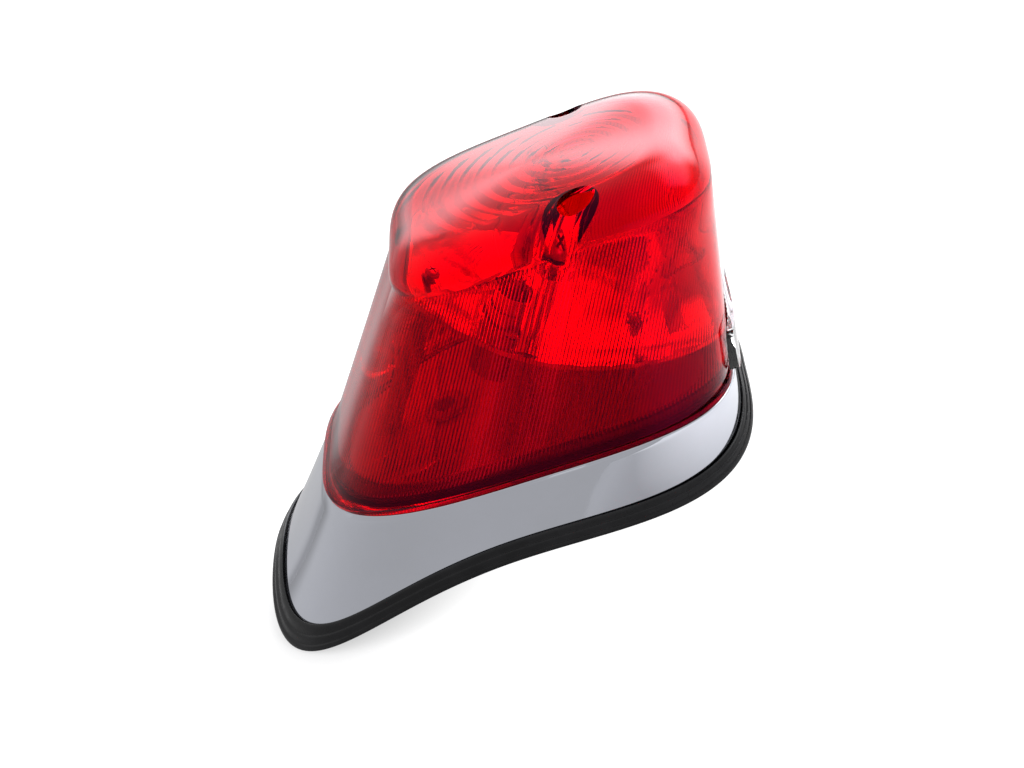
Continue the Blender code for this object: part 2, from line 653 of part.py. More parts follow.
# ---------------------------------------------------------------- lens screws
def make_lens_screws():
    for side in (-1, 1):
        label = side_name(side)
        spot = (BOSS_OFFSET, side * BOSS_SPREAD, 0)
        low = COUNTERBORE_FLOOR + GAP
        washer = [(4.2 * MM, low + 1 * MM), (4.2 * MM, low), (2.3 * MM, low), (2.3 * MM, low + 1 * MM)]
        turned(f"lens_screw_washer_{label}", washer, RUBBER, at=spot)
        seat = low + 1 * MM + GAP
        head = [(0, seat + 2.6 * MM), (2.0 * MM, seat + 2.5 * MM), (3.4 * MM, seat + 1.7 * MM),
                (4.0 * MM, seat + 0.6 * MM), (4.0 * MM, seat)]
        shank = [(1.9 * MM, seat), (1.9 * MM, 5 * MM), (0, 3.6 * MM)]
        screw = turned(f"lens_screw_{label}", head + shank, ZINC, at=spot)
        at = BEAM @ Matrix.Translation(spot)
        for number, (long, short) in enumerate(((2.2 * MM, 0.5 * MM), (0.5 * MM, 2.2 * MM))):
            cross = box(f"cross_{label}_{number}", (-long, -short, seat + 1.0 * MM), (long, short, seat + 5 * MM),
                        frame=at, cutter=True)
            combine(screw, "DIFFERENCE", cross)


# ---------------------------------------------------------------- mounting
def make_mounting():
    top = FLOOR_RISE - FLOOR_THICKNESS - GAP
    thickness = 2 * MM
    under = top - thickness
    plate = box("mounting_plate", (-40 * MM, -32 * MM, under), (46 * MM, 32 * MM, top), ZINC, frame=BASE_PLANE)
    rounding = plate.modifiers.new("corners", "BEVEL")
    rounding.width = 10 * MM
    rounding.segments = 3
    rounding.limit_method = "WEIGHT"
    mark_upright_edges(plate.data)
    for number, (x, y) in enumerate(STUDS, 1):
        stud = cylinder(f"stud_{number}", STUD_RADIUS, under - STUD_LENGTH, top - 0.5 * MM, frame=BASE_PLANE,
                        at=(x, y), sides=16, cutter=True)
        combine(plate, "UNION", stud)
        low = under - WASHER_DROP
        washer = [(6.4 * MM, low + 1.2 * MM), (6.4 * MM, low), (3.4 * MM, low), (3.4 * MM, low + 1.2 * MM)]
        turned(f"fender_washer_{number}", washer, ZINC, frame=BASE_PLANE, at=(x, y, 0), steps=20)
        nut = cylinder(f"fender_nut_{number}", 5.77 * MM, low - GAP - 5 * MM, low - GAP, ZINC,
                       BASE_PLANE, (x, y), 6)
        bore = cylinder(f"nut_bore_{number}", 3.3 * MM, low - 10 * MM, low + 5 * MM, frame=BASE_PLANE, at=(x, y),
                        sides=16, cutter=True)
        combine(nut, "DIFFERENCE", bore)
    for side in (-1, 1):
        # Countersunk, so that the plate's underside stays clear.
        hole = [(0, 9 * MM), (1.8 * MM, 9 * MM), (1.8 * MM, under + 1.6 * MM), (3.9 * MM, under - 0.5 * MM),
                (0, under - 0.5 * MM)]
        spot = (0, side * BOSS_SPREAD, 0)
        sink = turned(f"plate_hole_{side_name(side)}", hole, None, frame=BASE_PLANE, at=spot, cutter=True)
        combine(plate, "DIFFERENCE", sink)
        head = under + 0.1 * MM
        profile = [(0, 8 * MM), (1.4 * MM, 7 * MM), (1.4 * MM, head + 1.5 * MM), (2.9 * MM, head), (0, head)]
        turned(f"plate_screw_{side_name(side)}", profile, ZINC, frame=BASE_PLANE, at=spot)
    cable = cylinder("plate_cable_hole", 8.5 * MM, -9 * MM, 9 * MM, frame=BASE_PLANE, at=(GROMMET_X, 0),
                     cutter=True)
    combine(plate, "DIFFERENCE", cable)


def mark_upright_edges(data):
    """Gives the box's four upright edges bevel weight."""
    weights = data.attributes.new("bevel_weight_edge", "FLOAT", "EDGE")
    for edge in data.edges:
        first, second = (data.vertices[index].co for index in edge.vertices)
        weights.data[edge.index].value = 1.0 if abs(first.z - second.z) > 1e-6 else 0.0


def make_grommet():
    """The rubber grommet where the leads leave the floor."""
    top, under = FLOOR_RISE, FLOOR_RISE - FLOOR_THICKNESS
    lip, waist, bore, step = 7.5 * MM, 5.0 * MM, 3.6 * MM, 1.8 * MM
    profile = [
        (lip, top + GAP + step), (lip, top + GAP), (waist, top + GAP), (waist, under - GAP), (lip, under - GAP),
        (lip, under - GAP - step), (bore, under - GAP - step), (bore, top + GAP + step),
    ]
    turned("lead_grommet", profile, GREY_RUBBER, frame=BASE_PLANE, at=(GROMMET_X, 0, 0))


make_gasket()
make_housing()
make_base_pan()
make_lens()
make_window()
make_seal()
make_reflector()
make_reflector_screws()
make_socket()
make_rivets()
make_contacts()
make_bulb()
make_lens_screws()
make_mounting()
make_grommet()
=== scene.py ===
"""The motorcycle tail light's visual model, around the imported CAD. Shapes are in millimetres until add()."""

import bisect
import math

import bmesh
import bpy
from mathutils import Matrix, Vector


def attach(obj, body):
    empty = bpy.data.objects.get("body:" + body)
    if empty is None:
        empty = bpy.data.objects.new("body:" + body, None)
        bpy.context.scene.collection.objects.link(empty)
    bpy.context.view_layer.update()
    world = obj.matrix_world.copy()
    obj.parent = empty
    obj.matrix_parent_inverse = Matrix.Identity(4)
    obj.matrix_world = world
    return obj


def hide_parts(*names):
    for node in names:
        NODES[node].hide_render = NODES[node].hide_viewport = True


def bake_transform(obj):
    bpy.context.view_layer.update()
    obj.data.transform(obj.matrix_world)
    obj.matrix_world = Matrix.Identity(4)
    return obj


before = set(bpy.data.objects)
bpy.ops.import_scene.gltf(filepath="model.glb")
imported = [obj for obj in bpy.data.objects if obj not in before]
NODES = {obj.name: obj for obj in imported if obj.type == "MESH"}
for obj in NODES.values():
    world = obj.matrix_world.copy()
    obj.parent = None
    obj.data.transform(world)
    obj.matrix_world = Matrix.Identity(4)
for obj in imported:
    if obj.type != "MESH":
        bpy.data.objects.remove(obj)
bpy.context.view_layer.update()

MM = 0.001
GAP = 0.3  # between neighbouring pieces (mm)
SHARP = math.radians(38)  # edges sharper than this are shaded hard
SIDES = ((-1, "right"), (1, "left"))

# ---------------------------------------------------------------- the lamp's dimensions, as in the model
# centre, half length, half width, taper, power left, power right (mm)
GASKET_EDGE = (-9.7, 87.0, 57.2, 0.042, 4.26, 3.12)
SKIRT_EDGE = (-7.2, 82.2, 53.0, 0.042, 4.26, 3.12)
PARTING = (8.7, 68.9, 47.5, 0.015, 3.17, 4.11)
SHOULDER = (45.4, 51.3, 37.4, 0.037, 3.77, 3.83)
CROWN = 29.650926
FENDER_RADIUS_ALONG, FENDER_RADIUS_ACROSS, CROWN_X = 165.0, 87.5, -9.0
PARTING_HEIGHT, PARTING_SLOPE = 1.24, -0.097
SHOULDER_HEIGHT, SHOULDER_SLOPE, SHOULDER_SIDE_LIFT = 62.8, -0.073, 3.4
WALL_HEIGHT = 61.0
FILLET_INSET, FILLET_RISE, DOME_RISE = 12.5, 9.6, 6.3
LENS_WALL, LENS_FACE, LENS_FLANGE, FLANGE_HEIGHT = 3.0, 2.6, 0.8, 1.8
LIP_GAP, CHANNEL_WIDTH = 0.5, 6.0
WINDOW_DEPTH = 3.2
SKIRT_WALL, SKIRT_FOOT, LEDGE, LEDGE_LIP, FLOOR_RISE, FLOOR_THICKNESS = 2.3, 1.8, 6.0, 1.5, 4.5, 2.3
BEAM_TILT = math.radians(41.1)
BOSS_OFFSET, BOSS_SPREAD, BOSS_RADIUS, BOSS_END = 2.4, 28.3, 6.8, 22.0
COUNTERBORE_RADIUS, COUNTERBORE_FLOOR, POST_RADIUS = 4.66, 26.0, 3.4
DISH_CENTRE, DISH_DEPTH, DISH_CURVE, HUB_RADIUS, REFLECTOR_WALL = 4.0, 14.8, 0.0075, 9.4, 1.4
PILLARS, PILLAR_RADIUS = (-28.0, 38.0), 3.5
RIVET_SPREAD = 11.8
BASE_FRONT, BASE_BACK, BASE_RADIUS, PIN_POSITION, PIN_RADIUS = -3.6, -21.6, 7.5, -14.6, 1.0
GLASS_TIP, GLASS_RADIUS, NECK_RADIUS = 28.4, 12.7, 6.5
STUDS = ((-33.0, 0.0), (32.0, 18.0), (32.0, -18.0))
STUD_RADIUS, STUD_LENGTH, WASHER_DROP = 3.0, 22.0, 12.0
GROMMET_X, GROMMET_WAIST = -16.0, 5.0
RIBS, RIB_DEPTH = 288, 0.45
RIPPLE_PITCH, RIPPLE_DEPTH = 4.4, 0.26
DISH_RING_PITCH, DISH_RING_HEIGHT = 3.3, 0.5
SPRING_LOW, SPRING_HIGH, SPRING_WIRE = -31.3, -26.7, 0.4
NUT_RADIUS, NUT_HEIGHT, NUT_BORE = 5.77, 5.0, 3.3
SCREW_CLEARANCE = 1.8

BEAM = Matrix.Translation((27.1, 0, CROWN + 39.4)) @ Matrix.Rotation(BEAM_TILT, 4, "Y")
BASE_PLANE = Matrix.Translation((0, 0, CROWN + PARTING_HEIGHT)) @ Matrix.Rotation(-math.atan(PARTING_SLOPE), 4, "Y")


def fender(x, y):
    return -((x - CROWN_X) ** 2) / (2 * FENDER_RADIUS_ALONG) - y**2 / (2 * FENDER_RADIUS_ACROSS)


def on_fender(height):
    return lambda x, y: CROWN + fender(x, y) + height


def on_parting(height):
    return lambda x, y: CROWN + PARTING_HEIGHT + PARTING_SLOPE * x + height


def on_shoulder(height):
    return lambda x, y: (
        CROWN + SHOULDER_HEIGHT + SHOULDER_SLOPE * x + SHOULDER_SIDE_LIFT * (y / SHOULDER[2]) ** 2 + height
    )


def traced(section, inset=0.0):
    """The section's outline as many points, from +X towards +Y."""
    centre, half_length, half_width, taper, left, right = section
    points = []
    count = 1440
    for step in range(count):
        angle = 2 * math.pi * step / count
        cosine, sine = math.cos(angle), math.sin(angle)
        power = 2 / (right if cosine >= 0 else left)
        along = math.copysign(abs(cosine) ** power, cosine)
        across = math.copysign(abs(sine) ** power, sine)
        width = (half_width - inset) * (1 + taper * along)
        points.append((centre + (half_length - inset) * along, width * across))
    return points


def at_shares(section, inset, surface, shares):
    """Points of the outline at shares (0 to 1) of its length, each at the surface's height."""
    points = traced(section, inset)
    points.append(points[0])
    lengths = [0.0]
    for a, b in zip(points, points[1:]):
        lengths.append(lengths[-1] + math.dist(a, b))
    found = []
    for share in shares:
        target = (share % 1.0) * lengths[-1]
        at = bisect.bisect_right(lengths, target) - 1
        part = (target - lengths[at]) / (lengths[at + 1] - lengths[at])
        a, b = points[at], points[at + 1]
        x, y = a[0] + (b[0] - a[0]) * part, a[1] + (b[1] - a[1]) * part
        found.append(Vector((x, y, surface(x, y))))
    return found


def evenly(count):
    return [step / count for step in range(count)]


def ring(section, inset, surface, count=RIBS):
    return at_shares(section, inset, surface, evenly(count))


def level(x, y):
    return 0


def mix(first, second, share):
    return [a.lerp(b, share) for a, b in zip(first, second)]


def raised(points, surface):
    """The points, moved up or down to the surface."""
    return [Vector((p.x, p.y, surface(p.x, p.y))) for p in points]


def wall_ring(inset, height, count=RIBS):
    """A ring at a height above the parting plane that leans with the lens wall."""
    low = ring(PARTING, inset, level, count)
    high = ring(SHOULDER, inset, level, count)
    return raised(mix(low, high, height / WALL_HEIGHT), on_parting(height))


# ---------------------------------------------------------------- meshes
def to_mesh(name, shape):
    bmesh.ops.remove_doubles(shape, verts=shape.verts, dist=1e-5)
    bmesh.ops.recalc_face_normals(shape, faces=shape.faces)
    made = bpy.data.meshes.new(name)
    shape.to_mesh(made)
    shape.free()
    made.shade_smooth()
    made.set_sharp_from_angle(angle=SHARP)
    return made


def add(name, data, matrix=None):
    """An object from a mesh in millimetres, with its place in its vertices."""
    data.transform(Matrix.Scale(MM, 4) @ (matrix or Matrix()))
    piece = bpy.data.objects.new(name, data)
    bpy.context.scene.collection.objects.link(piece)
    return piece


def skin(shape, lower, upper):
    """Faces between two rings. One may have a whole number of points for each of the other's."""
    few, many = sorted((lower, upper), key=len)
    each = len(many) // len(few)
    for step in range(len(few)):
        after = (step + 1) % len(few)
        run = [many[(step * each + k) % len(many)] for k in range(each + 1)]
        face = [few[step]] + run + [few[after]]
        shape.faces.new(face if few is lower else face[::-1])


def loft(name, rings, closed=False, matrix=None):
    """A solid through rings of points, capped unless the last ring joins the first."""
    shape = bmesh.new()
    loops = [[shape.verts.new(point) for point in points] for points in rings]
    pairs = list(zip(loops, loops[1:]))
    if closed:
        pairs.append((loops[-1], loops[0]))
    for lower, upper in pairs:
        skin(shape, lower, upper)
    if not closed:
        for loop in (loops[0], loops[-1]):
            centre = shape.verts.new(sum((vert.co for vert in loop), Vector()) / len(loop))
            for step in range(len(loop)):
                shape.faces.new((loop[step], loop[(step + 1) % len(loop)], centre))
    return add(name, to_mesh(name, shape), matrix)


def lathe(shape, profile, at=(0, 0), steps=64, matrix=None):
    """Turns a profile of (radius, height) round Z into the bmesh. A radius may be a function of the angle."""
    matrix = matrix or Matrix()
    loops = []
    for radius, height in profile:
        if not callable(radius) and radius <= 1e-6:
            loops.append([shape.verts.new(matrix @ Vector((at[0], at[1], height)))])
            continue
        loop = []
        for k in range(steps):
            angle = 2 * math.pi * k / steps
            reach = radius(angle) if callable(radius) else radius
            spot = Vector((at[0] + reach * math.cos(angle), at[1] + reach * math.sin(angle), height))
            loop.append(shape.verts.new(matrix @ spot))
        loops.append(loop)
    pairs = list(zip(loops, loops[1:]))
    if len(loops[0]) > 1 or len(loops[-1]) > 1:
        pairs.append((loops[-1], loops[0]))
    for lower, upper in pairs:
        if len(lower) == 1 and len(upper) == 1:
            continue
        for k in range(steps):
            after = (k + 1) % steps
            if len(lower) == 1:
                shape.faces.new((lower[0], upper[after], upper[k]))
            elif len(upper) == 1:
                shape.faces.new((lower[k], lower[after], upper[0]))
            else:
                shape.faces.new((lower[k], lower[after], upper[after], upper[k]))


def thread(radius, high, low, pitch, depth):
    """A turned profile's threaded length, from its upper end to its lower end."""
    rings = round((high - low) / pitch * 6)
    profile = []
    for step in range(rings + 1):
        height = high + (low - high) * step / rings
        fade = min(1.0, step / 6, (rings - step) / 6) * depth

        def reach(angle, height=height, fade=fade):
            return radius - fade * (0.5 - 0.5 * math.cos(2 * math.pi * height / pitch - angle))

        profile.append((reach, height))
    return profile


def tube(shape, points, radius, sides=10):
    """A round wire through the points, with closed ends."""
    points = [Vector(point) for point in points]
    side = None
    loops = []
    for k, point in enumerate(points):
        along = (points[min(k + 1, len(points) - 1)] - points[max(k - 1, 0)]).normalized()
        side = (side - along * side.dot(along)).normalized() if side else along.orthogonal().normalized()
        over = along.cross(side)
        loops.append([
            shape.verts.new(point + radius * (side * math.cos(turn) + over * math.sin(turn)))
            for turn in (2 * math.pi * j / sides for j in range(sides))
        ])
    for lower, upper in zip(loops, loops[1:]):
        skin(shape, lower, upper)
    shape.faces.new(loops[0][::-1])
    shape.faces.new(loops[-1])


def turned(name, profile, at=(0, 0), matrix=BEAM, steps=64):
    """A turned piece."""
    shape = bmesh.new()
    lathe(shape, profile, at, steps)
    return add(name, to_mesh(name, shape), matrix)


def rod(shape, radius, low, high, at, steps, matrix):
    """A plain cylinder between two heights."""
    lathe(shape, [(0, low), (radius, low), (radius, high), (0, high)], at, steps, matrix)


def box(shape, low, high, matrix=None):
    low, high = Vector(low), Vector(high)
    made = bmesh.ops.create_cube(shape, size=1)["verts"]
    bmesh.ops.scale(shape, vec=high - low, verts=made)
    bmesh.ops.translate(shape, vec=(low + high) / 2, verts=made)
    if matrix:
        bmesh.ops.transform(shape, matrix=matrix, verts=made)


def cutter(fill):
    """A helper solid, filled by the given function, that's removed again after use."""
    shape = bmesh.new()
    fill(shape)
    return add("helper", to_mesh("helper", shape))


def change(piece, *steps):
    """Booleans on the piece, each (operation, helper), applied in turn. The helpers are removed."""
    for operation, other in steps:
        modifier = piece.modifiers.new("cut", "BOOLEAN")
        modifier.operation, modifier.object, modifier.solver = operation, other, "EXACT"
    graph = bpy.context.evaluated_depsgraph_get()
    made = bpy.data.meshes.new_from_object(piece.evaluated_get(graph))
    piece.modifiers.clear()
    old, piece.data = piece.data, made
    bpy.data.meshes.remove(old)
    for _, other in steps:
        bpy.data.meshes.remove(other.data)
    made.set_sharp_from_angle(angle=SHARP)
    return piece


REBUILT = set()


def coat(piece, *surfaces):
    piece.data.materials.clear()
    for surface in surfaces:
        piece.data.materials.append(surface)


def settle(piece, surface, body, slot, *nodes):
    """Gives a piece its material, body and the CAD nodes that it stands for. The slot argument is not used."""
    if surface is not None:
        coat(piece, surface)
    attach(piece, body)
    if nodes:
        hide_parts(*nodes)
        REBUILT.update(nodes)


# ---------------------------------------------------------------- materials
class Tree:
    """A Principled material with a little shorthand for its nodes."""

    def __init__(self, name, **inputs):
        self.material = bpy.data.materials.new(name)
        self.material.use_nodes = True
        self.nodes = self.material.node_tree.nodes
        self.links = self.material.node_tree.links
        self.shader = self.nodes["Principled BSDF"]
        for key, value in inputs.items():
            self.shader.inputs[key.replace("_", " ")].default_value = value
        self.place = self.nodes.new("ShaderNodeTexCoord").outputs["Object"]

    def link(self, source, target):
        if isinstance(source, (int, float, tuple)):
            target.default_value = source
        else:
            self.links.new(source, target)

    def noise(self, scale, detail=3.0, rough=0.55, stretch=None, distortion=0.0):
        made = self.nodes.new("ShaderNodeTexNoise")
        made.inputs["Scale"].default_value = scale
        made.inputs["Detail"].default_value = detail
        made.inputs["Roughness"].default_value = rough
        made.inputs["Distortion"].default_value = distortion
        place = self.place
        if stretch:
            mapped = self.nodes.new("ShaderNodeMapping")
            mapped.inputs["Scale"].default_value = stretch
            self.links.new(place, mapped.inputs["Vector"])
            place = mapped.outputs["Vector"]
        self.links.new(place, made.inputs["Vector"])
        return made.outputs["Fac"]

    def cells(self, scale):
        made = self.nodes.new("ShaderNodeTexVoronoi")
        made.inputs["Scale"].default_value = scale
        self.links.new(self.place, made.inputs["Vector"])
        return made.outputs["Distance"]

    def span(self, value, low, high, to_low=0.0, to_high=1.0):
        made = self.nodes.new("ShaderNodeMapRange")
        self.links.new(value, made.inputs["Value"])
        for key, number in (("From Min", low), ("From Max", high), ("To Min", to_low), ("To Max", to_high)):
            made.inputs[key].default_value = number
        return made.outputs["Result"]

    def blend(self, share, first, second):
        made = self.nodes.new("ShaderNodeMix")
        made.data_type = "RGBA"
        self.link(share, made.inputs["Factor"])
        self.link(first, made.inputs[6])
        self.link(second, made.inputs[7])
        return made.outputs[2]

    def join(self, operation, first, second):
        made = self.nodes.new("ShaderNodeMath")
        made.operation = operation
        self.link(first, made.inputs[0])
        self.link(second, made.inputs[1])
        return made.outputs[0]

    def colour(self, pattern, low, high, first, second):
        """From the first colour, where the pattern is low, to the second."""
        share = self.span(pattern, low, high)
        self.link(self.blend(share, first + (1,), second + (1,)), self.shader.inputs["Base Color"])

    def roughness(self, pattern, low, high, smooth, rough):
        self.link(self.span(pattern, low, high, smooth, rough), self.shader.inputs["Roughness"])

    def bump(self, height, distance, strength):
        made = self.nodes.new("ShaderNodeBump")
        made.inputs["Strength"].default_value = strength
        made.inputs["Distance"].default_value = distance
        self.links.new(height, made.inputs["Height"])
        self.links.new(made.outputs["Normal"], self.shader.inputs["Normal"])
        return self.material


def red_acrylic(name, strong, weak):
    tree = Tree(name, Transmission_Weight=1.0, IOR=1.49, Specular_Tint=(1.0, 0.02, 0.2, 1.0))
    tree.colour(tree.noise(22, 4, 0.6, stretch=(1, 1, 0.45)), 0.3, 0.7, strong, weak)
    tree.roughness(tree.noise(900, 2, 0.6), 0.35, 0.75, 0.0, 0.035)
    return tree.bump(tree.noise(260, 2, 0.5), 0.00002, 0.25)


def clear_acrylic():
    tree = Tree("clear_acrylic", Transmission_Weight=1.0, IOR=1.49)
    tree.colour(tree.noise(30, 3, 0.6), 0.3, 0.7, (0.96, 0.97, 0.98), (0.90, 0.92, 0.93))
    tree.roughness(tree.noise(700, 2), 0.35, 0.75, 0.01, 0.06)
    return tree.bump(tree.noise(300, 2), 0.00002, 0.2)


def chrome():
    tree = Tree("chrome_plating", Metallic=1.0)
    tree.colour(tree.noise(35, 5, 0.6), 0.3, 0.7, (0.60, 0.615, 0.68), (0.57, 0.585, 0.64))
    tree.roughness(tree.noise(140, 5, 0.65), 0.3, 0.8, 0.035, 0.085)
    return tree.bump(tree.noise(90, 2, 0.4), 0.00006, 0.12)


def dull_plating():
    tree = Tree("dull_plating", Metallic=0.85)
    tree.colour(tree.noise(60, 5, 0.6), 0.3, 0.7, (0.20, 0.20, 0.21), (0.13, 0.13, 0.135))
    tree.roughness(tree.noise(220, 4), 0.3, 0.7, 0.36, 0.5)
    return tree.bump(tree.noise(1500, 2), 0.00004, 0.3)


def rubber():
    tree = Tree("black_rubber", IOR=1.5, Specular_IOR_Level=0.25)
    tree.colour(tree.noise(45, 6, 0.65), 0.45, 0.8, (0.005, 0.005, 0.006), (0.016, 0.016, 0.018))
    tree.roughness(tree.noise(320, 4), 0.3, 0.7, 0.22, 0.4)
    return tree.bump(tree.noise(2600, 3, 0.6), 0.00004, 0.35)


def aluminised():
    tree = Tree("aluminised_plastic", Metallic=1.0)
    tree.colour(tree.noise(40, 4, 0.6), 0.3, 0.7, (0.93, 0.93, 0.94), (0.84, 0.84, 0.86))
    tree.roughness(tree.noise(180, 4), 0.3, 0.7, 0.05, 0.12)
    return tree.bump(tree.noise(420, 2), 0.00004, 0.2)


def zinc():
    """Plated steel: fine crystals under a cloudy tone."""
    tree = Tree("zinc_plated_steel", Metallic=1.0)
    crystals = tree.span(tree.cells(650), 0.0, 0.9, 0.0, 0.35)
    clouds = tree.span(tree.noise(120, 5, 0.65), 0.3, 0.7, 0.0, 0.65)
    tree.colour(tree.join("ADD", crystals, clouds), 0.0, 1.0, (0.66, 0.66, 0.62), (0.45, 0.46, 0.47))
    tree.roughness(tree.noise(480, 4), 0.3, 0.7, 0.24, 0.42)
    return tree.bump(tree.noise(1900, 3), 0.00003, 0.35)


def brass():
    tree = Tree("brass", Metallic=1.0)
    tarnish = tree.noise(160, 6, 0.65, distortion=0.6)
    tree.colour(tarnish, 0.4, 0.75, (0.80, 0.60, 0.27), (0.42, 0.27, 0.12))
    tree.roughness(tarnish, 0.35, 0.75, 0.18, 0.42)
    return tree.bump(tree.noise(2200, 3), 0.00002, 0.3)


def clear_glass():
    tree = Tree("bulb_glass", Transmission_Weight=1.0, IOR=1.45)
    tree.colour(tree.noise(60, 3), 0.35, 0.75, (0.97, 0.975, 0.98), (0.90, 0.91, 0.92))
    tree.roughness(tree.noise(300, 3), 0.3, 0.7, 0.0, 0.02)
    return tree.bump(tree.noise(120, 2), 0.00003, 0.15)


def phenolic():
    tree = Tree("brown_phenolic", IOR=1.55)
    fibre = tree.noise(500, 5, 0.7, stretch=(1, 6, 1))
    tree.colour(fibre, 0.3, 0.7, (0.15, 0.065, 0.03), (0.07, 0.03, 0.015))
    tree.roughness(fibre, 0.3, 0.7, 0.42, 0.65)
    return tree.bump(fibre, 0.00003, 0.3)


def tungsten():
    tree = Tree("tungsten_wire", Metallic=1.0)
    tree.colour(tree.noise(1200, 4), 0.3, 0.7, (0.36, 0.35, 0.36), (0.20, 0.20, 0.22))
    tree.roughness(tree.noise(2400, 3), 0.3, 0.7, 0.28, 0.5)
    return tree.bump(tree.noise(5000, 2), 0.00001, 0.4)


def moulding(name, light, dark, rough):
    """A satin moulded plastic, with faint flow marks."""
    tree = Tree(name, IOR=1.5)
    tree.colour(tree.noise(30, 5, 0.6, stretch=(1, 1, 0.5), distortion=0.4), 0.3, 0.7, light, dark)
    tree.roughness(tree.noise(400, 4), 0.3, 0.7, rough, rough + 0.16)
    return tree.bump(tree.noise(1400, 3), 0.00003, 0.3)


RED = red_acrylic("red_acrylic", (0.93, 0.0, 0.008), (0.88, 0.0, 0.006))
RIM = red_acrylic("red_acrylic_rim", (0.3, 0.0, 0.002), (0.26, 0.0, 0.002))
CLEAR, GLASS = clear_acrylic(), clear_glass()
CHROME, DULL, ZINC, BRASS, TUNGSTEN = chrome(), dull_plating(), zinc(), brass(), tungsten()
MIRROR, RUBBER, PHENOLIC = aluminised(), rubber(), phenolic()
PALE = moulding("pale_moulding", (0.82, 0.82, 0.80), (0.70, 0.70, 0.69), 0.42)
GREY_RUBBER = moulding("grey_rubber", (0.66, 0.66, 0.65), (0.56, 0.56, 0.55), 0.6)
BY_SLOT = {
    "red_acrylic": RED, "clear_acrylic": CLEAR, "chrome_plating": CHROME, "black_rubber": RUBBER,
    "aluminised_plastic": MIRROR, "zinc_plated_steel": ZINC, "brass": BRASS, "bulb_glass": GLASS,
    "brown_phenolic": PHENOLIC, "tungsten_wire": TUNGSTEN, "grey_abs": PALE, "grey_rubber": GREY_RUBBER,
}


# ---------------------------------------------------------------- gasket
def smooth_profile(points, each=5):
    """A Catmull-Rom curve through the points."""
    out = []
    for k in range(len(points) - 1):
        p0 = Vector(points[max(k - 1, 0)])
        p1, p2 = Vector(points[k]), Vector(points[k + 1])
        p3 = Vector(points[min(k + 2, len(points) - 1)])
        for step in range(each):
            t = step / each
            out.append(tuple(
                0.5 * (2 * p1 + (p2 - p0) * t + (2 * p0 - 5 * p1 + 4 * p2 - p3) * t**2
                       + (3 * p1 - p0 - 3 * p2 + p3) * t**3)
            ))
    out.append(tuple(points[-1]))
    return out


def make_gasket():
    """Three rounded ribs and two grooves outside, a lip that hugs the skirt, and a channel for its foot."""
    outer_face = (
        (0.03, 0.0), (0.0, 0.25), (-0.004, 0.65), (0.02, 1.05), (0.09, 1.35), (0.16, 1.22), (0.21, 1.15),
        (0.27, 1.5), (0.34, 2.0), (0.42, 2.22), (0.50, 2.12), (0.555, 1.98), (0.62, 2.2), (0.72, 2.7),
        (0.82, 2.95), (0.92, 2.95), (0.985, 2.8), (1.0, 2.6),
    )
    edge = ring(GASKET_EDGE, 0, level)
    hug = ring(SKIRT_EDGE, -LIP_GAP, level)
    rings = []
    for share, height in smooth_profile(outer_face, 4):
        rings.append(raised(mix(edge, hug, share), on_fender(max(height, 0.0))))
    channel = SKIRT_FOOT - GAP
    rings.append(ring(SKIRT_EDGE, -LIP_GAP, on_fender(channel)))
    rings.append(ring(SKIRT_EDGE, CHANNEL_WIDTH, on_fender(channel)))
    rings.append(ring(SKIRT_EDGE, CHANNEL_WIDTH, on_fender(0)))
    gasket = loft("gasket_moulding", rings, closed=True)
    settle(gasket, RUBBER, "housing_unit", "black_rubber", "fender_gasket")


# ---------------------------------------------------------------- housing
def skirt_rings():
    """The outer face of the skirt, from its foot to the parting line, with a slight flare and a rounded top."""
    foot = ring(SKIRT_EDGE, 0, on_fender(SKIRT_FOOT))
    top = ring(PARTING, 0, on_parting(0))
    rings = []
    for share in (0.0, 0.08, 0.18, 0.3, 0.42, 0.54, 0.66, 0.78, 0.88, 0.95):
        pull = 0.022 * math.sin(math.pi * share)
        rings.append([
            p + Vector(((q.x - p.x), (q.y - p.y), 0)) * pull for p, q in zip(mix(foot, top, share), top)
        ])
    for inset, drop in ((0.0, 0.55), (0.06, 0.25), (0.22, 0.08), (0.5, 0.0)):
        rings.append(ring(PARTING, inset, on_parting(-drop)))
    return rings


def make_housing():
    """The skirt, the ledge inside its top edge that the lens stands round, and the lip that the plate pulls on."""
    step = LEDGE + SKIRT_WALL
    lip_top = FLOOR_RISE - FLOOR_THICKNESS - GAP
    inner_top = ring(PARTING, SKIRT_WALL, on_parting(-SKIRT_WALL))
    inner_foot = ring(SKIRT_EDGE, SKIRT_WALL, on_fender(SKIRT_FOOT + 0.25))
    rings = [
        ring(PARTING, step + LEDGE_LIP, on_parting(lip_top - LEDGE_LIP)),
        ring(PARTING, step, on_parting(-SKIRT_WALL)), inner_top, mix(inner_top, inner_foot, 0.5), inner_foot,
        ring(SKIRT_EDGE, SKIRT_WALL - 0.3, on_fender(SKIRT_FOOT)),
    ]
    inner_rings = len(rings)
    rings += skirt_rings()
    rings += [
        wall_ring(LEDGE, 0), wall_ring(LEDGE, FLOOR_RISE - 0.5), wall_ring(LEDGE + 0.15, FLOOR_RISE - 0.15),
        wall_ring(LEDGE + 0.5, FLOOR_RISE), wall_ring(step - 0.3, FLOOR_RISE), wall_ring(step, FLOOR_RISE - 0.3),
        wall_ring(step, lip_top), ring(PARTING, step + LEDGE_LIP, on_parting(lip_top)),
    ]
    housing = loft("housing_shell", rings, closed=True)
    coat(housing, CHROME, DULL)
    # Only the skirt's outer face is polished. The loft makes its faces band by band.
    first = inner_rings - 1
    last = first + len(skirt_rings())
    for face in housing.data.polygons:
        face.material_index = 0 if first <= face.index // RIBS < last else 1
    settle(housing, None, "housing_unit", "chrome_plating", "chrome_housing")


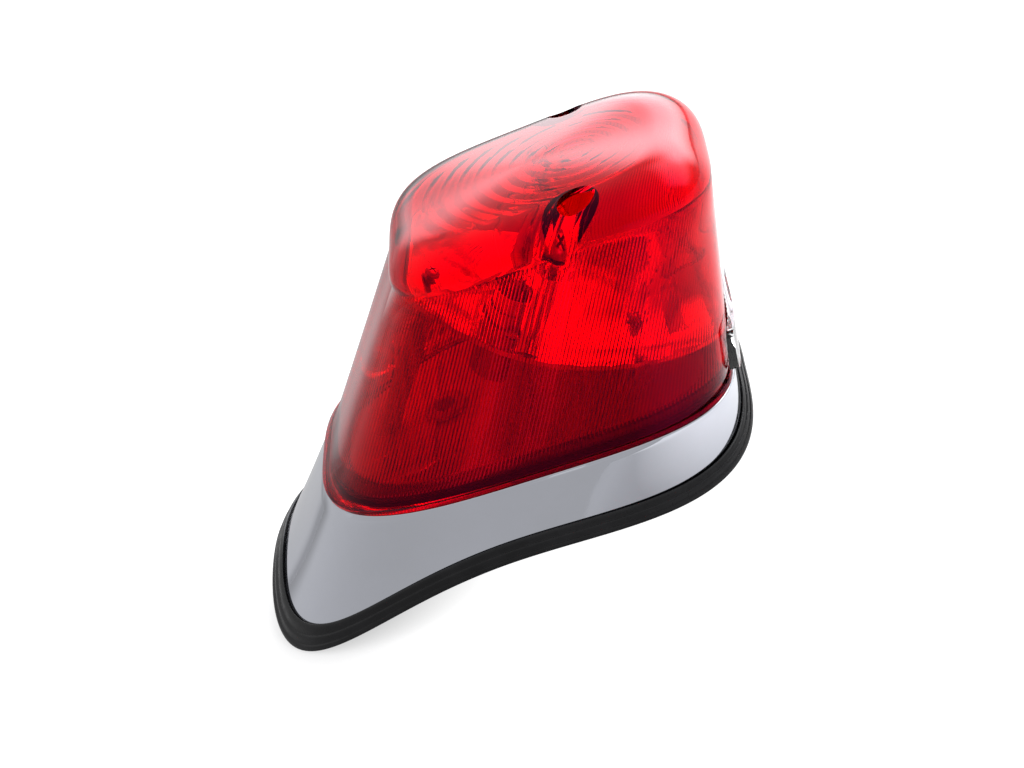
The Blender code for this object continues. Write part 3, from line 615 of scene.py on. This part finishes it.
# ---------------------------------------------------------------- base pan
def dish_rise(distance):
    """Height of the reflector's front at a distance from its own axis, in the beam frame."""
    return DISH_CURVE * distance**2 - DISH_DEPTH


def dish_height(offset):
    """Height of the reflector's front on the beam frame's X axis."""
    return dish_rise(offset - DISH_CENTRE)


def make_pan():
    """The floor inside the housing, with the posts that take the lens screws and the reflector's pillars."""
    edge = LEDGE + SKIRT_WALL + GAP
    low, high = FLOOR_RISE - FLOOR_THICKNESS, FLOOR_RISE
    pan = loft("pan_moulding", [
        wall_ring(edge + 0.4, low), wall_ring(edge, low + 0.4), wall_ring(edge, high - 0.4),
        wall_ring(edge + 0.15, high - 0.1), wall_ring(edge + 0.5, high),
    ])

    def risers(shape):
        end = BOSS_END - GAP
        post = [(0, -60), (POST_RADIUS + 1.0, -60), (POST_RADIUS, -12), (POST_RADIUS, -8.8),
                (POST_RADIUS, end - 0.6), (POST_RADIUS - 0.6, end), (0, end)]
        for side, _ in SIDES:
            lathe(shape, post, (BOSS_OFFSET, side * BOSS_SPREAD), 48, BEAM)
        for offset in PILLARS:
            lowest = min(dish_height(offset - PILLAR_RADIUS), dish_height(offset + PILLAR_RADIUS))
            rod(shape, PILLAR_RADIUS, -80, lowest - REFLECTOR_WALL - 0.6, (offset, 0), 32, BEAM)

    def below(shape):
        box(shape, (-200, -200, -200), (200, 200, FLOOR_RISE - 1.2), BASE_PLANE)

    def webs(shape):
        """Low stiffening webs across the floor."""
        for x in (-20.0, 12.0, 28.0):
            box(shape, (x - 0.7, -30, FLOOR_RISE - 1.0), (x + 0.7, 30, FLOOR_RISE + 1.6), BASE_PLANE)

    def bores(shape):
        for side, _ in SIDES:
            rod(shape, 2.2, 2, 30, (BOSS_OFFSET, side * BOSS_SPREAD), 32, BEAM)
            rod(shape, SCREW_CLEARANCE, 0, 9, (0, side * BOSS_SPREAD), 24, BASE_PLANE)
        for offset in PILLARS:
            top = dish_height(offset)
            rod(shape, 1.6, top - 12, top, (offset, 0), 24, BEAM)
        rod(shape, GROMMET_WAIST + GAP, 0, 9, (GROMMET_X, 0), 48, BASE_PLANE)

    posts = change(cutter(risers), ("DIFFERENCE", cutter(below)))
    change(pan, ("UNION", cutter(webs)), ("UNION", posts), ("DIFFERENCE", cutter(bores)))
    coat(pan, PALE, MIRROR)
    # The pan is pale, and the posts are bright in front of the reflector.
    into_beam, into_base = BEAM.inverted(), BASE_PLANE.inverted()
    front = dish_rise(BOSS_SPREAD)
    for face in pan.data.polygons:
        spot = face.center / MM
        above = (into_base @ spot).z > FLOOR_RISE + 2.5
        face.material_index = int(above and (into_beam @ spot).z > front)
    settle(pan, None, "housing_unit", "grey_abs", "base_pan")


# ---------------------------------------------------------------- lens
def lens_shares(count):
    """Where the ribs stand at the shoulder: they drift round towards the window end as they rise."""
    return [
        share - 0.034 * math.sin(2 * math.pi * share) - 0.0175 * math.sin(4 * math.pi * share)
        for share in evenly(count)
    ]


def wall_at(wall, face, share, count=RIBS):
    """A ring of the lens wall at a share of its height, moved in by `wall`."""
    low = at_shares(PARTING, LENS_FLANGE + wall, on_parting(GAP), evenly(count))
    high = at_shares(SHOULDER, wall, on_shoulder(-face * 0.5), lens_shares(count))
    return mix(low, high, share)


def crown_rings(wall, face, count=RIBS, domes=10, ripple=0.0):
    """The fillet and the domed face, from the shoulder to near its centre, with any ripples round the beam."""
    into_beam = BEAM.inverted()
    shares = lens_shares(count)
    rings = []
    bends = 12
    for step in range(1, bends + 1):
        angle = math.pi / 2 * step / bends
        inset = (FILLET_INSET - wall * 0.5) * (1 - math.cos(angle))
        lift = DOME_RISE * (1 - (1 - (inset + wall * 0.5 * math.sin(angle)) / SHOULDER[2]) ** 2)
        rise = FILLET_RISE * math.sin(angle) + lift - face * (0.5 + 0.5 * math.sin(angle))
        rings.append(at_shares(SHOULDER, wall + inset, on_shoulder(rise), shares))
    edge = at_shares(SHOULDER, wall * 0.5 + FILLET_INSET, level, shares)
    edge_share = 1 - FILLET_INSET / SHOULDER[2]
    centre = Vector((SHOULDER[0], 0, 0))
    for step in range(domes):
        share = 0.95 - 0.89 * step / (domes - 1)
        surface = on_shoulder(FILLET_RISE + DOME_RISE * (1 - (share * edge_share) ** 2) - face)
        found = raised([centre.lerp(point, share) for point in edge], surface)
        if ripple:
            for spot in found:
                local = into_beam @ spot
                turns = math.hypot(local.x - DISH_CENTRE, local.y) / RIPPLE_PITCH
                spot.z -= ripple * abs(2 * (turns % 1.0) - 1)
        rings.append(found)
    return rings


def rib_ring(share, depth, each=5):
    """A ring of the inner wall with its flat ribs, which stand in by `depth` between narrow grooves."""
    count = RIBS * each
    outer = wall_at(LENS_WALL, LENS_FACE, share, count)
    inner = wall_at(LENS_WALL + 1.0, LENS_FACE, share, count)
    return [p.lerp(q, depth if step % each else 0.0) for step, (p, q) in enumerate(zip(outer, inner))]


def inner_space(wall, face):
    """A helper solid that fills the lens to within `wall` of its sides and `face` of its face."""
    walls = [wall_at(wall, face, share, 96) for share in (0.0, 0.35, 0.7, 1.0)]
    return loft("helper", walls + crown_rings(wall, face, 96))


def make_lens():
    """The ribbed shell, its two screw bosses with their counterbores, and the opening for the window."""
    outside = [wall_at(0, 0, share) for share in (0.045, 0.2, 0.36, 0.52, 0.68, 0.84, 1.0)] + crown_rings(0, 0)
    inside = [wall_at(LENS_WALL, LENS_FACE, 0.0), wall_at(LENS_WALL, LENS_FACE, 0.045)]
    ribs = ((0.05, 0.05), (0.065, 0.9), (0.12, 1), (0.3, 1), (0.48, 1), (0.66, 1), (0.84, 1), (0.95, 1),
            (0.985, 0.85), (0.999, 0.05))
    for share, part in ribs:
        inside.append(rib_ring(share, RIB_DEPTH * part))
    inside.append(wall_at(LENS_WALL, LENS_FACE, 1.0))
    inside += crown_rings(LENS_WALL, LENS_FACE, domes=48, ripple=RIPPLE_DEPTH)
    edge = ((0.12, GAP), (0.0, 0.42), (0.0, FLANGE_HEIGHT - 0.3), (0.12, FLANGE_HEIGHT - 0.08),
            (0.35, FLANGE_HEIGHT), (LENS_FLANGE, FLANGE_HEIGHT + 0.05))
    flange = [ring(PARTING, inset, on_parting(height)) for inset, height in edge]
    lens = loft("lens_moulding", inside[::-1] + flange + outside)
    tube_profile = [(0, BOSS_END), (BOSS_RADIUS - 0.4, BOSS_END), (BOSS_RADIUS, BOSS_END + 0.4),
                    (BOSS_RADIUS + 0.5, 60), (0, 60)]
    opening = [(0, 15), (2.3, 15), (2.3, COUNTERBORE_FLOOR), (COUNTERBORE_RADIUS, COUNTERBORE_FLOOR),
               (COUNTERBORE_RADIUS, 60), (0, 60)]

    def tubes(shape):
        for side, _ in SIDES:
            lathe(shape, tube_profile, (BOSS_OFFSET, side * BOSS_SPREAD), 64, BEAM)

    def openings(shape):
        for side, _ in SIDES:
            lathe(shape, opening, (BOSS_OFFSET, side * BOSS_SPREAD), 64, BEAM)
        box(shape, (70, -24, 4), (110, 24, 12.5), BASE_PLANE)

    trim = inner_space(1.5, 1.3)
    bosses = change(cutter(tubes), ("INTERSECT", trim))
    change(lens, ("UNION", bosses), ("DIFFERENCE", cutter(openings)))
    settle(lens, RED, "lens_unit", "red_acrylic", "lens")
    # Less light comes through the thick flange.
    lens.data.materials.append(RIM)
    rim = on_parting(FLANGE_HEIGHT + 0.2)
    for face in lens.data.polygons:
        spot = face.center / MM
        face.material_index = int(spot.z < rim(spot.x, spot.y))


def make_window():
    """The clear licence window: a raised patch with rounded corners, fluted on its inner side."""
    foot_out = ring(PARTING, LENS_FLANGE - WINDOW_DEPTH, on_parting(GAP))
    foot_in = ring(PARTING, LENS_FLANGE - GAP, on_parting(GAP))
    crest_out, crest_in = ring(SHOULDER, 0, on_shoulder(0)), ring(SHOULDER, -GAP, on_shoulder(0))
    inside, outside = [], []
    for step in range(26):
        near = mix(foot_in, crest_in, 0.02 * step)
        far = mix(foot_out, crest_out, 0.02 * step)
        outside.append(far)
        inside.append([p.lerp(q, 0.12 * (k % 2)) for k, (p, q) in enumerate(zip(near, far))])
    window = loft("window_moulding", inside[::-1] + outside, closed=True)

    def outline(shape):
        box(shape, (60, -28, FLANGE_HEIGHT + GAP), (120, 28, 16), BASE_PLANE)
        corners = []
        for edge in shape.edges:
            run = edge.verts[0].co - edge.verts[1].co
            if abs(run.normalized().y) < 0.1 and run.length > 50:
                corners.append(edge)
        bmesh.ops.bevel(shape, geom=corners, offset=2.2, segments=6, profile=0.5, affect="EDGES")

    change(window, ("INTERSECT", cutter(outline)))
    settle(window, CLEAR, "lens_unit", "clear_acrylic", "licence_window")


def make_seal():
    """The rubber ring between the lens wall and the housing's step, with a soft lip at its top."""
    outer, inner = LENS_FLANGE + LENS_WALL + GAP, LEDGE - GAP
    section = (
        (outer + 0.1, 0.3), (outer, 0.5), (outer, 0.9), (outer + 0.25, 1.1), (outer, 1.3), (outer + 0.1, 1.7),
        (outer + 0.35, 1.9), ((outer + inner) / 2, 2.0), (inner - 0.3, 1.9), (inner, 1.7), (inner, 0.5),
        (inner - 0.15, 0.3),
    )
    seal = loft("seal_ring", [wall_ring(inset, height) for inset, height in section], closed=True)
    settle(seal, RUBBER, "housing_unit", "black_rubber", "lens_seal")


# ---------------------------------------------------------------- reflector
def make_reflector():
    """A dish with raised rings pressed into its front, trimmed to the lens."""
    start, stop = 5.0, 68.0
    profile = []
    radius = start
    while radius < stop:
        crest = radius + DISH_RING_PITCH / 2
        profile += [(radius, dish_rise(radius)), (crest, dish_rise(crest) + DISH_RING_HEIGHT)]
        radius += DISH_RING_PITCH
    profile.append((stop, dish_rise(stop)))
    for step in range(24, -1, -1):
        radius = start + (stop - start) * step / 24
        profile.append((radius, dish_rise(radius) - REFLECTOR_WALL))
    dish = turned("reflector_dish", profile, (DISH_CENTRE, 0), steps=160)

    def holes(shape):
        rod(shape, HUB_RADIUS, -40, 40, (0, 0), 72, BEAM)
        for side, _ in SIDES:
            rod(shape, POST_RADIUS + 1.0, -40, 40, (BOSS_OFFSET, side * BOSS_SPREAD), 56, BEAM)
            rod(shape, 1.5, -30, 0, (0, side * RIVET_SPREAD), 24, BEAM)
        for offset in PILLARS:
            rod(shape, 1.7, -40, 40, (offset, 0), 24, BEAM)
        box(shape, (47, -14, -20), (52, 14, 30), BEAM)

    trim = inner_space(LENS_WALL + 1.0, LENS_FACE + 2.0)
    change(dish, ("INTERSECT", trim), ("DIFFERENCE", cutter(holes)))
    coat(dish, MIRROR, PALE)
    into_beam = BEAM.inverted()
    for face in dish.data.polygons:
        spot = into_beam @ (face.center / MM)
        middle = dish_rise(math.hypot(spot.x - DISH_CENTRE, spot.y)) - REFLECTOR_WALL / 2
        face.material_index = int(spot.z < middle)
    settle(dish, None, "housing_unit", "aluminised_plastic", "reflector")


def cut_cross(screw, at, height, reach, width, matrix=BEAM):
    """Cuts a cross-shaped driver recess into a screw head."""
    place = matrix @ Matrix.Translation((at[0], at[1], 0))
    arms = []
    for turn in (math.pi / 4, 3 * math.pi / 4):
        arm = bmesh.new()
        box(arm, (-reach, -width, height), (reach, width, height + 6), place @ Matrix.Rotation(turn, 4, "Z"))
        arms.append(("DIFFERENCE", add("helper", to_mesh("helper", arm))))
    change(screw, *arms)


def make_reflector_screws():
    for number, offset in enumerate(PILLARS, 1):
        top = dish_height(offset)
        seat = max(dish_height(offset - 3), dish_height(offset + 3)) + 0.5
        head = [(0, seat + 1.65), (1.0, seat + 1.6), (1.8, seat + 1.42), (2.35, seat + 1.0), (2.6, seat + 0.5),
                (2.6, seat + 0.1), (2.5, seat)]
        shank = thread(radius=1.35, high=seat - 0.2, low=top - 9.6, pitch=0.7, depth=0.25) + [(0, top - 11)]
        screw = turned(f"reflector_screw_{number}_fine", head + shank, (offset, 0), steps=32)
        cut_cross(screw, (offset, 0), seat + 0.7, 1.4, 0.3)
        settle(screw, ZINC, "housing_unit", "zinc_plated_steel", f"reflector_screw_{number}")


# ---------------------------------------------------------------- bulb
def make_bulb_cap():
    """A thin brass cup with a crimped neck, and its two bayonet pins."""
    rim, front, back = BASE_RADIUS, BASE_FRONT, BASE_BACK
    # It starts and ends on the axis: the cup's inner floor, its inside, its outside and its outer floor.
    profile = [
        (0, back + 2), (rim - 0.6, back + 2), (rim - 0.7, front - 1), (rim - 0.7, front), (rim - 0.35, front + 0.02),
        (rim, front - 0.3), (rim - 0.05, front - 0.9), (rim - 0.25, front - 1.1), (rim - 0.25, front - 1.5),
        (rim, front - 1.8), (rim, back + 1.6), (rim - 0.2, back + 0.5), (rim - 0.7, back), (0, back),
    ]
    cap = turned("bulb_cap", profile, steps=72)
    pin = [(0, rim - 0.5), (PIN_RADIUS, rim - 0.5), (PIN_RADIUS, 8.8), (PIN_RADIUS - 0.2, 9.0), (0, 9.0)]

    def pins(shape):
        for side, _ in SIDES:
            place = BEAM @ Matrix.Translation((0, 0, PIN_POSITION)) @ Matrix.Rotation(-side * math.pi / 2, 4, "X")
            lathe(shape, pin, steps=24, matrix=place)

    change(cap, ("UNION", cutter(pins)))
    settle(cap, BRASS, "bulb_unit", "brass", "bulb_base")


def make_bulb_glass():
    """A round bulb that narrows into the cap, and the stem inside it."""
    centre, thickness, neck_end = GLASS_TIP - GLASS_RADIUS, 0.8, -2
    outside = []
    for step in range(1, 19):
        angle = math.pi / 2 * (1 - step / 18)
        outside.append((GLASS_RADIUS * math.cos(angle), centre + GLASS_RADIUS * math.sin(angle)))
    for step in range(1, 17):
        share = step / 16
        ease = share * share * (3 - 2 * share)
        outside.append((GLASS_RADIUS + (NECK_RADIUS - GLASS_RADIUS) * ease, centre + (neck_end - centre) * share))
    outside.append((NECK_RADIUS, -10))
    inside = [(radius - thickness, height) for radius, height in outside if radius > thickness + 0.4]
    profile = [(0, GLASS_TIP)] + outside + inside[::-1] + [(0, GLASS_TIP - thickness)]
    settle(turned("bulb_envelope", profile, steps=72), GLASS, "bulb_unit", "bulb_glass", "bulb_glass")
    stem = [(0, 1.0), (0.9, 0.85), (1.5, 0.2), (1.8, -1.5), (2.0, -4), (2.4, -7), (3.2, -10.5), (4.2, -13.5),
            (4.4, -15), (0, -15)]
    settle(turned("bulb_glass_stem", stem, steps=48), GLASS, "bulb_unit", "bulb_glass", "bulb_stem")


def make_filament(name, foot, height, offset):
    """Two support wires, with a coil between their hooked ends."""
    half, top = 3.2, foot + height
    support = ((1, foot), (1, top - 1.2), (0.97, top - 0.5), (0.86, top - 0.12), (0.7, top))
    shape = bmesh.new()
    for side, _ in SIDES:
        tube(shape, [(offset, side * half * out, level) for out, level in support], 0.26)
    turns, per_turn, reach = 9, 12, half * 0.72
    coil = []
    for step in range(turns * per_turn + 1):
        share = step / (turns * per_turn)
        angle = 2 * math.pi * turns * share
        swell = 0.42 * min(1.0, share * 8, (1 - share) * 8)
        coil.append((offset + swell * math.cos(angle), reach * (2 * share - 1), top + swell * math.sin(angle) - 0.1))
    tube(shape, coil, 0.11, 6)
    wires = add(f"filament_{name}", to_mesh(f"filament_{name}", shape), BEAM)
    settle(wires, TUNGSTEN, "bulb_unit", "tungsten_wire", f"bulb_filament_{name}")


def make_contact_spring():
    """A conical wire spring."""
    low, high, turns, per_turn = SPRING_LOW, SPRING_HIGH, 3, 28
    points = []
    for step in range(turns * per_turn + 1):
        share = step / (turns * per_turn)
        angle, radius = 2 * math.pi * turns * share, 6.2 - 1.6 * share
        points.append((radius * math.cos(angle), radius * math.sin(angle), low + (high - low) * share))
    shape = bmesh.new()
    tube(shape, points, SPRING_WIRE, 12)
    spring = add("contact_spring_coil", to_mesh("contact_spring_coil", shape), BEAM)
    coat(spring, ZINC)
    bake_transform(spring)
    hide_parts("contact_spring")
    REBUILT.add("contact_spring")


# ---------------------------------------------------------------- lens screws
def make_lens_screws():
    low = COUNTERBORE_FLOOR + GAP
    seat = low + 1.3
    washer = [(4.05, low + 1.0), (4.2, low + 0.85), (4.2, low + 0.15), (4.05, low), (2.45, low),
              (2.3, low + 0.15), (2.3, low + 0.85), (2.45, low + 1.0)]
    head = [(0, seat + 2.62), (1.2, seat + 2.55), (2.4, seat + 2.25), (3.3, seat + 1.7), (3.85, seat + 1.0),
            (4.0, seat + 0.4), (4.0, seat + 0.12), (3.88, seat)]
    threads = thread(radius=1.9, high=21.5, low=5.4, pitch=0.9, depth=0.32)
    shank = [(1.9, seat), (1.9, 22.0)] + threads + [(1.1, 4.4), (0, 3.7)]
    for side, label in SIDES:
        spot = (BOSS_OFFSET, side * BOSS_SPREAD)
        cushion = turned(f"screw_washer_{label}", washer, spot)
        settle(cushion, RUBBER, f"screw_{label}_unit", "black_rubber", f"lens_screw_washer_{label}")
        screw = turned(f"lens_screw_{label}_fine", head + shank, spot, steps=36)
        cut_cross(screw, spot, seat + 0.9, 2.3, 0.48)
        settle(screw, ZINC, f"screw_{label}_unit", "zinc_plated_steel", f"lens_screw_{label}")


# ---------------------------------------------------------------- mounting plate, studs, nuts and grommet
def plate_outline(inset, height):
    """The plate's outline: a rectangle with 10 mm corners."""
    points = []
    low, high, half, radius = -40 + inset, 46 - inset, 32 - inset, 10 - inset
    corners = ((high - radius, half - radius, 0), (low + radius, half - radius, 90),
               (low + radius, radius - half, 180), (high - radius, radius - half, 270))
    for x, y, start in corners:
        for step in range(9):
            angle = math.radians(start + 90 * step / 8)
            points.append(Vector((x + radius * math.cos(angle), y + radius * math.sin(angle), height)))
    return points


def make_mounting():
    """The plate with its threaded studs, their washers and nuts, and the plate's countersunk screws."""
    top = FLOOR_RISE - FLOOR_THICKNESS - GAP
    under = top - 2
    edges = ((0.3, under), (0.0, under + 0.3), (0.0, top - 0.3), (0.3, top))
    plate = loft("plate_pressing", [plate_outline(inset, height) for inset, height in edges], matrix=BASE_PLANE)
    tip = under - STUD_LENGTH
    stud = [(0, top - 0.5), (STUD_RADIUS, top - 0.5), (STUD_RADIUS, under - 1.2)]
    stud += thread(radius=STUD_RADIUS, high=under - 1.6, low=tip + 0.8, pitch=1.0, depth=0.5)
    stud += [(2.3, tip), (0, tip)]
    countersink = [(0, 9), (SCREW_CLEARANCE, 9), (SCREW_CLEARANCE, under + 1.6), (3.9, under - 0.5), (0, under - 0.5)]

    def studs(shape):
        for spot in STUDS:
            lathe(shape, stud, spot, 40, BASE_PLANE)

    def holes(shape):
        for side, _ in SIDES:
            lathe(shape, countersink, (0, side * BOSS_SPREAD), 48, BASE_PLANE)
        rod(shape, 8.5, -9, 9, (GROMMET_X, 0), 64, BASE_PLANE)

    change(plate, ("UNION", cutter(studs)), ("DIFFERENCE", cutter(holes)))
    settle(plate, ZINC, "housing_unit", "zinc_plated_steel", "mounting_plate")
    low = under - WASHER_DROP
    washer = [(6.25, low + 1.2), (6.4, low + 1.05), (6.4, low + 0.15), (6.25, low), (3.5, low),
              (3.4, low + 0.12), (3.4, low + 1.08), (3.5, low + 1.2)]
    for number, spot in enumerate(STUDS, 1):
        piece = turned(f"washer_{number}", washer, spot, BASE_PLANE)
        settle(piece, ZINC, "housing_unit", "zinc_plated_steel", f"fender_washer_{number}")
        make_nut(number, spot, low - GAP)
    head = under + 0.1
    profile = [(0, 8.0), (1.4, 7.0), (1.4, head + 1.5), (2.85, head + 0.12), (2.75, head), (0, head)]
    for side, label in SIDES:
        spot = (0, side * BOSS_SPREAD)
        screw = turned(f"plate_screw_{label}_fine", profile, spot, BASE_PLANE, 40)
        cut_cross(screw, spot, head - 5.2, 1.5, 0.32, BASE_PLANE)
        settle(screw, ZINC, "housing_unit", "zinc_plated_steel", f"plate_screw_{label}")


def make_nut(number, spot, top):
    """A hexagon nut with chamfered corners and a threaded bore."""
    bottom, corner, turns = top - NUT_HEIGHT, NUT_RADIUS + 0.1, 16
    threads = [(0, top + 0.5), (3.9, top + 0.5), (NUT_BORE, top - 0.3)]
    for step in range(1, turns):
        threads.append((NUT_BORE + 0.12 * (step % 2), top - 0.3 - (NUT_HEIGHT - 0.6) * step / turns))
    threads += [(NUT_BORE, bottom + 0.3), (3.9, bottom - 0.5), (0, bottom - 0.5)]

    def hexagon(shape):
        rod(shape, NUT_RADIUS, bottom - 1, top + 1, spot, 6, BASE_PLANE)

    def bore(shape):
        lathe(shape, threads, spot, 44, BASE_PLANE)

    blank = [(0, bottom), (4.9, bottom), (corner, bottom + 0.55), (corner, top - 0.55), (4.9, top), (0, top)]
    # The blank is turned a little, so that its facets don't meet the hexagon's corners.
    place = BASE_PLANE @ Matrix.Translation((spot[0], spot[1], 0)) @ Matrix.Rotation(0.06, 4, "Z")
    nut = turned(f"nut_{number}", blank, matrix=place, steps=48)
    change(nut, ("INTERSECT", cutter(hexagon)), ("DIFFERENCE", cutter(bore)))
    settle(nut, ZINC, "housing_unit", "zinc_plated_steel", f"fender_nut_{number}")


def make_grommet():
    top, under = FLOOR_RISE + GAP, FLOOR_RISE - FLOOR_THICKNESS - GAP
    lip, bore, step = 7.5, 3.6, 1.8
    profile = [
        (bore + 0.3, top + step), (lip - 0.7, top + step), (lip - 0.2, top + step - 0.25), (lip, top + step - 0.8),
        (lip, top + 0.2), (lip - 0.2, top), (GROMMET_WAIST, top), (GROMMET_WAIST, under), (lip - 0.2, under),
        (lip, under - 0.2),
        (lip, under - step + 0.8), (lip - 0.2, under - step + 0.25), (lip - 0.7, under - step),
        (bore + 0.3, under - step), (bore, under - step + 0.3), (bore, top + step - 0.3),
    ]
    grommet = turned("grommet_moulding", profile, (GROMMET_X, 0), BASE_PLANE)
    settle(grommet, GREY_RUBBER, "housing_unit", "grey_rubber", "lead_grommet")


make_gasket()
make_housing()
make_pan()
make_lens()
make_window()
make_seal()
make_reflector()
make_reflector_screws()
make_bulb_cap()
make_bulb_glass()
make_filament("tail", 1.3, 8.0, 1.5)
make_filament("brake", 1.3, 13.0, -1.5)
make_contact_spring()
make_lens_screws()
make_mounting()
make_grommet()


# ---------------------------------------------------------------- carried-over nodes
for name, node in NODES.items():
    if name in REBUILT:
        continue
    for place in node.material_slots:
        old = place.material.name.split(".")[0] if place.material else "zinc_plated_steel"
        place.material = BY_SLOT.get(old, ZINC)


# ---------------------------------------------------------------- floor, light and camera
def make_floor():
    shape = bmesh.new()
    bmesh.ops.create_grid(shape, x_segments=24, y_segments=24, size=4.0)
    data = bpy.data.meshes.new("studio_floor")
    shape.to_mesh(data)
    shape.free()
    floor = bpy.data.objects.new("studio_floor", data)
    bpy.context.scene.collection.objects.link(floor)
    tree = Tree("studio_floor", Roughness=0.9, Emission_Color=(1, 1, 1, 1))
    tree.colour(tree.noise(3, 2), 0.3, 0.7, (0.30, 0.30, 0.305), (0.28, 0.28, 0.285))
    # Painted light: for all but camera rays the floor glows, brightest past the lamp's window end, and dark far
    # behind its other end.
    split = tree.nodes.new("ShaderNodeSeparateXYZ")
    tree.link(tree.place, split.inputs[0])
    across, along = split.outputs["Y"], split.outputs["X"]
    past_window, near_front = tree.span(along, 0.045, 0.085, 0.0, 0.8), tree.span(across, -0.3, 0.0, 0.6, 1.0)
    bright = tree.join("ADD", tree.join("MULTIPLY", past_window, near_front), 0.2)
    away = tree.join("ADD", tree.join("MULTIPLY", along, -0.643), tree.join("MULTIPLY", across, 0.766))
    painted_glow = tree.join("MULTIPLY", bright, tree.span(away, 0.24, 0.5, 1.0, 0.0))
    # The camera sees a plain pale floor, with a painted shadow that darkens it round a spot under the lamp's tall
    # end.
    painted_shadow = tree.nodes.new("ShaderNodeVectorMath")
    painted_shadow.operation = "DISTANCE"
    tree.link(tree.place, painted_shadow.inputs[0])
    painted_shadow.inputs[1].default_value = (-0.068, -0.022, 0.0)
    plain = tree.span(painted_shadow.outputs["Value"], 0.026, 0.056, 0.6, 1.05)
    seen = tree.nodes.new("ShaderNodeLightPath").outputs["Is Camera Ray"]
    glow = tree.nodes.new("ShaderNodeMix")
    for socket, value in ((0, seen), (2, painted_glow), (3, plain)):
        tree.link(value, glow.inputs[socket])
    tree.link(glow.outputs[0], tree.shader.inputs["Emission Strength"])
    data.materials.append(tree.material)


def direction(azimuth, elevation):
    """The direction at an azimuth from -Y towards +X, and an elevation, in degrees."""
    a, e = math.radians(azimuth), math.radians(elevation)
    return Vector((math.sin(a) * math.cos(e), -math.cos(a) * math.cos(e), math.sin(e)))


def make_world():
    world = bpy.data.worlds.new("studio")
    bpy.context.scene.world = world
    world.use_nodes = True
    nodes, links = world.node_tree.nodes, world.node_tree.links
    nodes.clear()
    where = nodes.new("ShaderNodeTexCoord").outputs["Generated"]

    def vector_math(operation, a, b=None):
        made = nodes.new("ShaderNodeVectorMath")
        made.operation = operation
        for value, socket in ((a, made.inputs[0]), (b, made.inputs[1])):
            if isinstance(value, (tuple, Vector)):
                socket.default_value = value
            elif value is not None:
                links.new(value, socket)
        return made.outputs["Value" if operation == "DOT_PRODUCT" else "Vector"]

    def math_node(operation, a, b=0.0):
        made = nodes.new("ShaderNodeMath")
        made.operation = operation
        for value, socket in ((a, made.inputs[0]), (b, made.inputs[1])):
            if isinstance(value, (int, float)):
                socket.default_value = value
            else:
                links.new(value, socket)
        return made.outputs[0]

    def soft_step(value, low, high, to_low, to_high):
        made = nodes.new("ShaderNodeMapRange")
        made.interpolation_type = "SMOOTHSTEP"
        links.new(value, made.inputs["Value"])
        for key, number in (("From Min", low), ("From Max", high), ("To Min", to_low), ("To Max", to_high)):
            made.inputs[key].default_value = number
        return made.outputs["Result"]

    def panel(azimuth, elevation, half_width, half_height, soft, strength):
        """A soft-edged light panel at a direction, its half sizes and edge in degrees."""
        middle = direction(azimuth, elevation)
        across = direction(azimuth + 90, 0)
        up = across.cross(middle)
        ahead = math_node("MAXIMUM", vector_math("DOT_PRODUCT", where, middle), 0.001)
        lit = strength
        for axis, half in ((across, half_width), (up, half_height)):
            offset = math_node("ABSOLUTE", math_node("DIVIDE", vector_math("DOT_PRODUCT", where, axis), ahead))
            inner, outer = math.tan(math.radians(max(half - soft, 0))), math.tan(math.radians(half + soft))
            lit = math_node("MULTIPLY", soft_step(offset, inner, outer, 1.0, 0.0), lit)
        return lit

    height = vector_math("DOT_PRODUCT", where, (0, 0, 1))
    front = vector_math("DOT_PRODUCT", where, direction(-10, 0))
    light = soft_step(front, -0.4, 0.95, 0.85, 0.7)
    light = math_node("MULTIPLY", light, soft_step(height, 0.4, 0.9, 1.0, 1.5))
    for settings in PANELS:
        light = math_node("ADD", light, panel(*settings))
    studio, plain = nodes.new("ShaderNodeBackground"), nodes.new("ShaderNodeBackground")
    links.new(light, studio.inputs["Strength"])
    plain.inputs["Color"].default_value = (1, 1, 1, 1)
    seen = nodes.new("ShaderNodeLightPath")
    choose = nodes.new("ShaderNodeMixShader")
    links.new(seen.outputs["Is Camera Ray"], choose.inputs[0])
    links.new(studio.outputs[0], choose.inputs[1])
    links.new(plain.outputs[0], choose.inputs[2])
    out = nodes.new("ShaderNodeOutputWorld")
    links.new(choose.outputs[0], out.inputs["Surface"])


# azimuth, elevation, half width, half height and soft edge in degrees, then strength. Below 0 is a dark card.
PANELS = (
    (163, 17, 22, 14, 10, 6.8),
    (-163, 20, 13, 11, 8, 2.2),
    (118, 36, 26, 16, 9, 4.0),
    (-129, 1, 7, 6, 8, -0.35),
)


SENSOR_WIDTH, FOCAL_LENGTH = 36, 70.3125


def make_camera():
    data = bpy.data.cameras.new("camera")
    data.sensor_width = SENSOR_WIDTH
    data.lens = FOCAL_LENGTH
    data.clip_start, data.clip_end = 0.01, 20
    camera = bpy.data.objects.new("camera", data)
    bpy.context.scene.collection.objects.link(camera)
    right, up, back = (0.8991, -0.0320, -0.4365), (0.3780, 0.5595, 0.7376), (0.2206, -0.8282, 0.5151)
    place = Matrix((right, up, back)).transposed().to_4x4()
    place.translation = (0.14941, -0.5339, 0.36706)
    camera.matrix_world = place
    bpy.context.scene.camera = camera


make_floor()
make_world()
make_camera()
bpy.context.scene.view_settings.view_transform = "Standard"
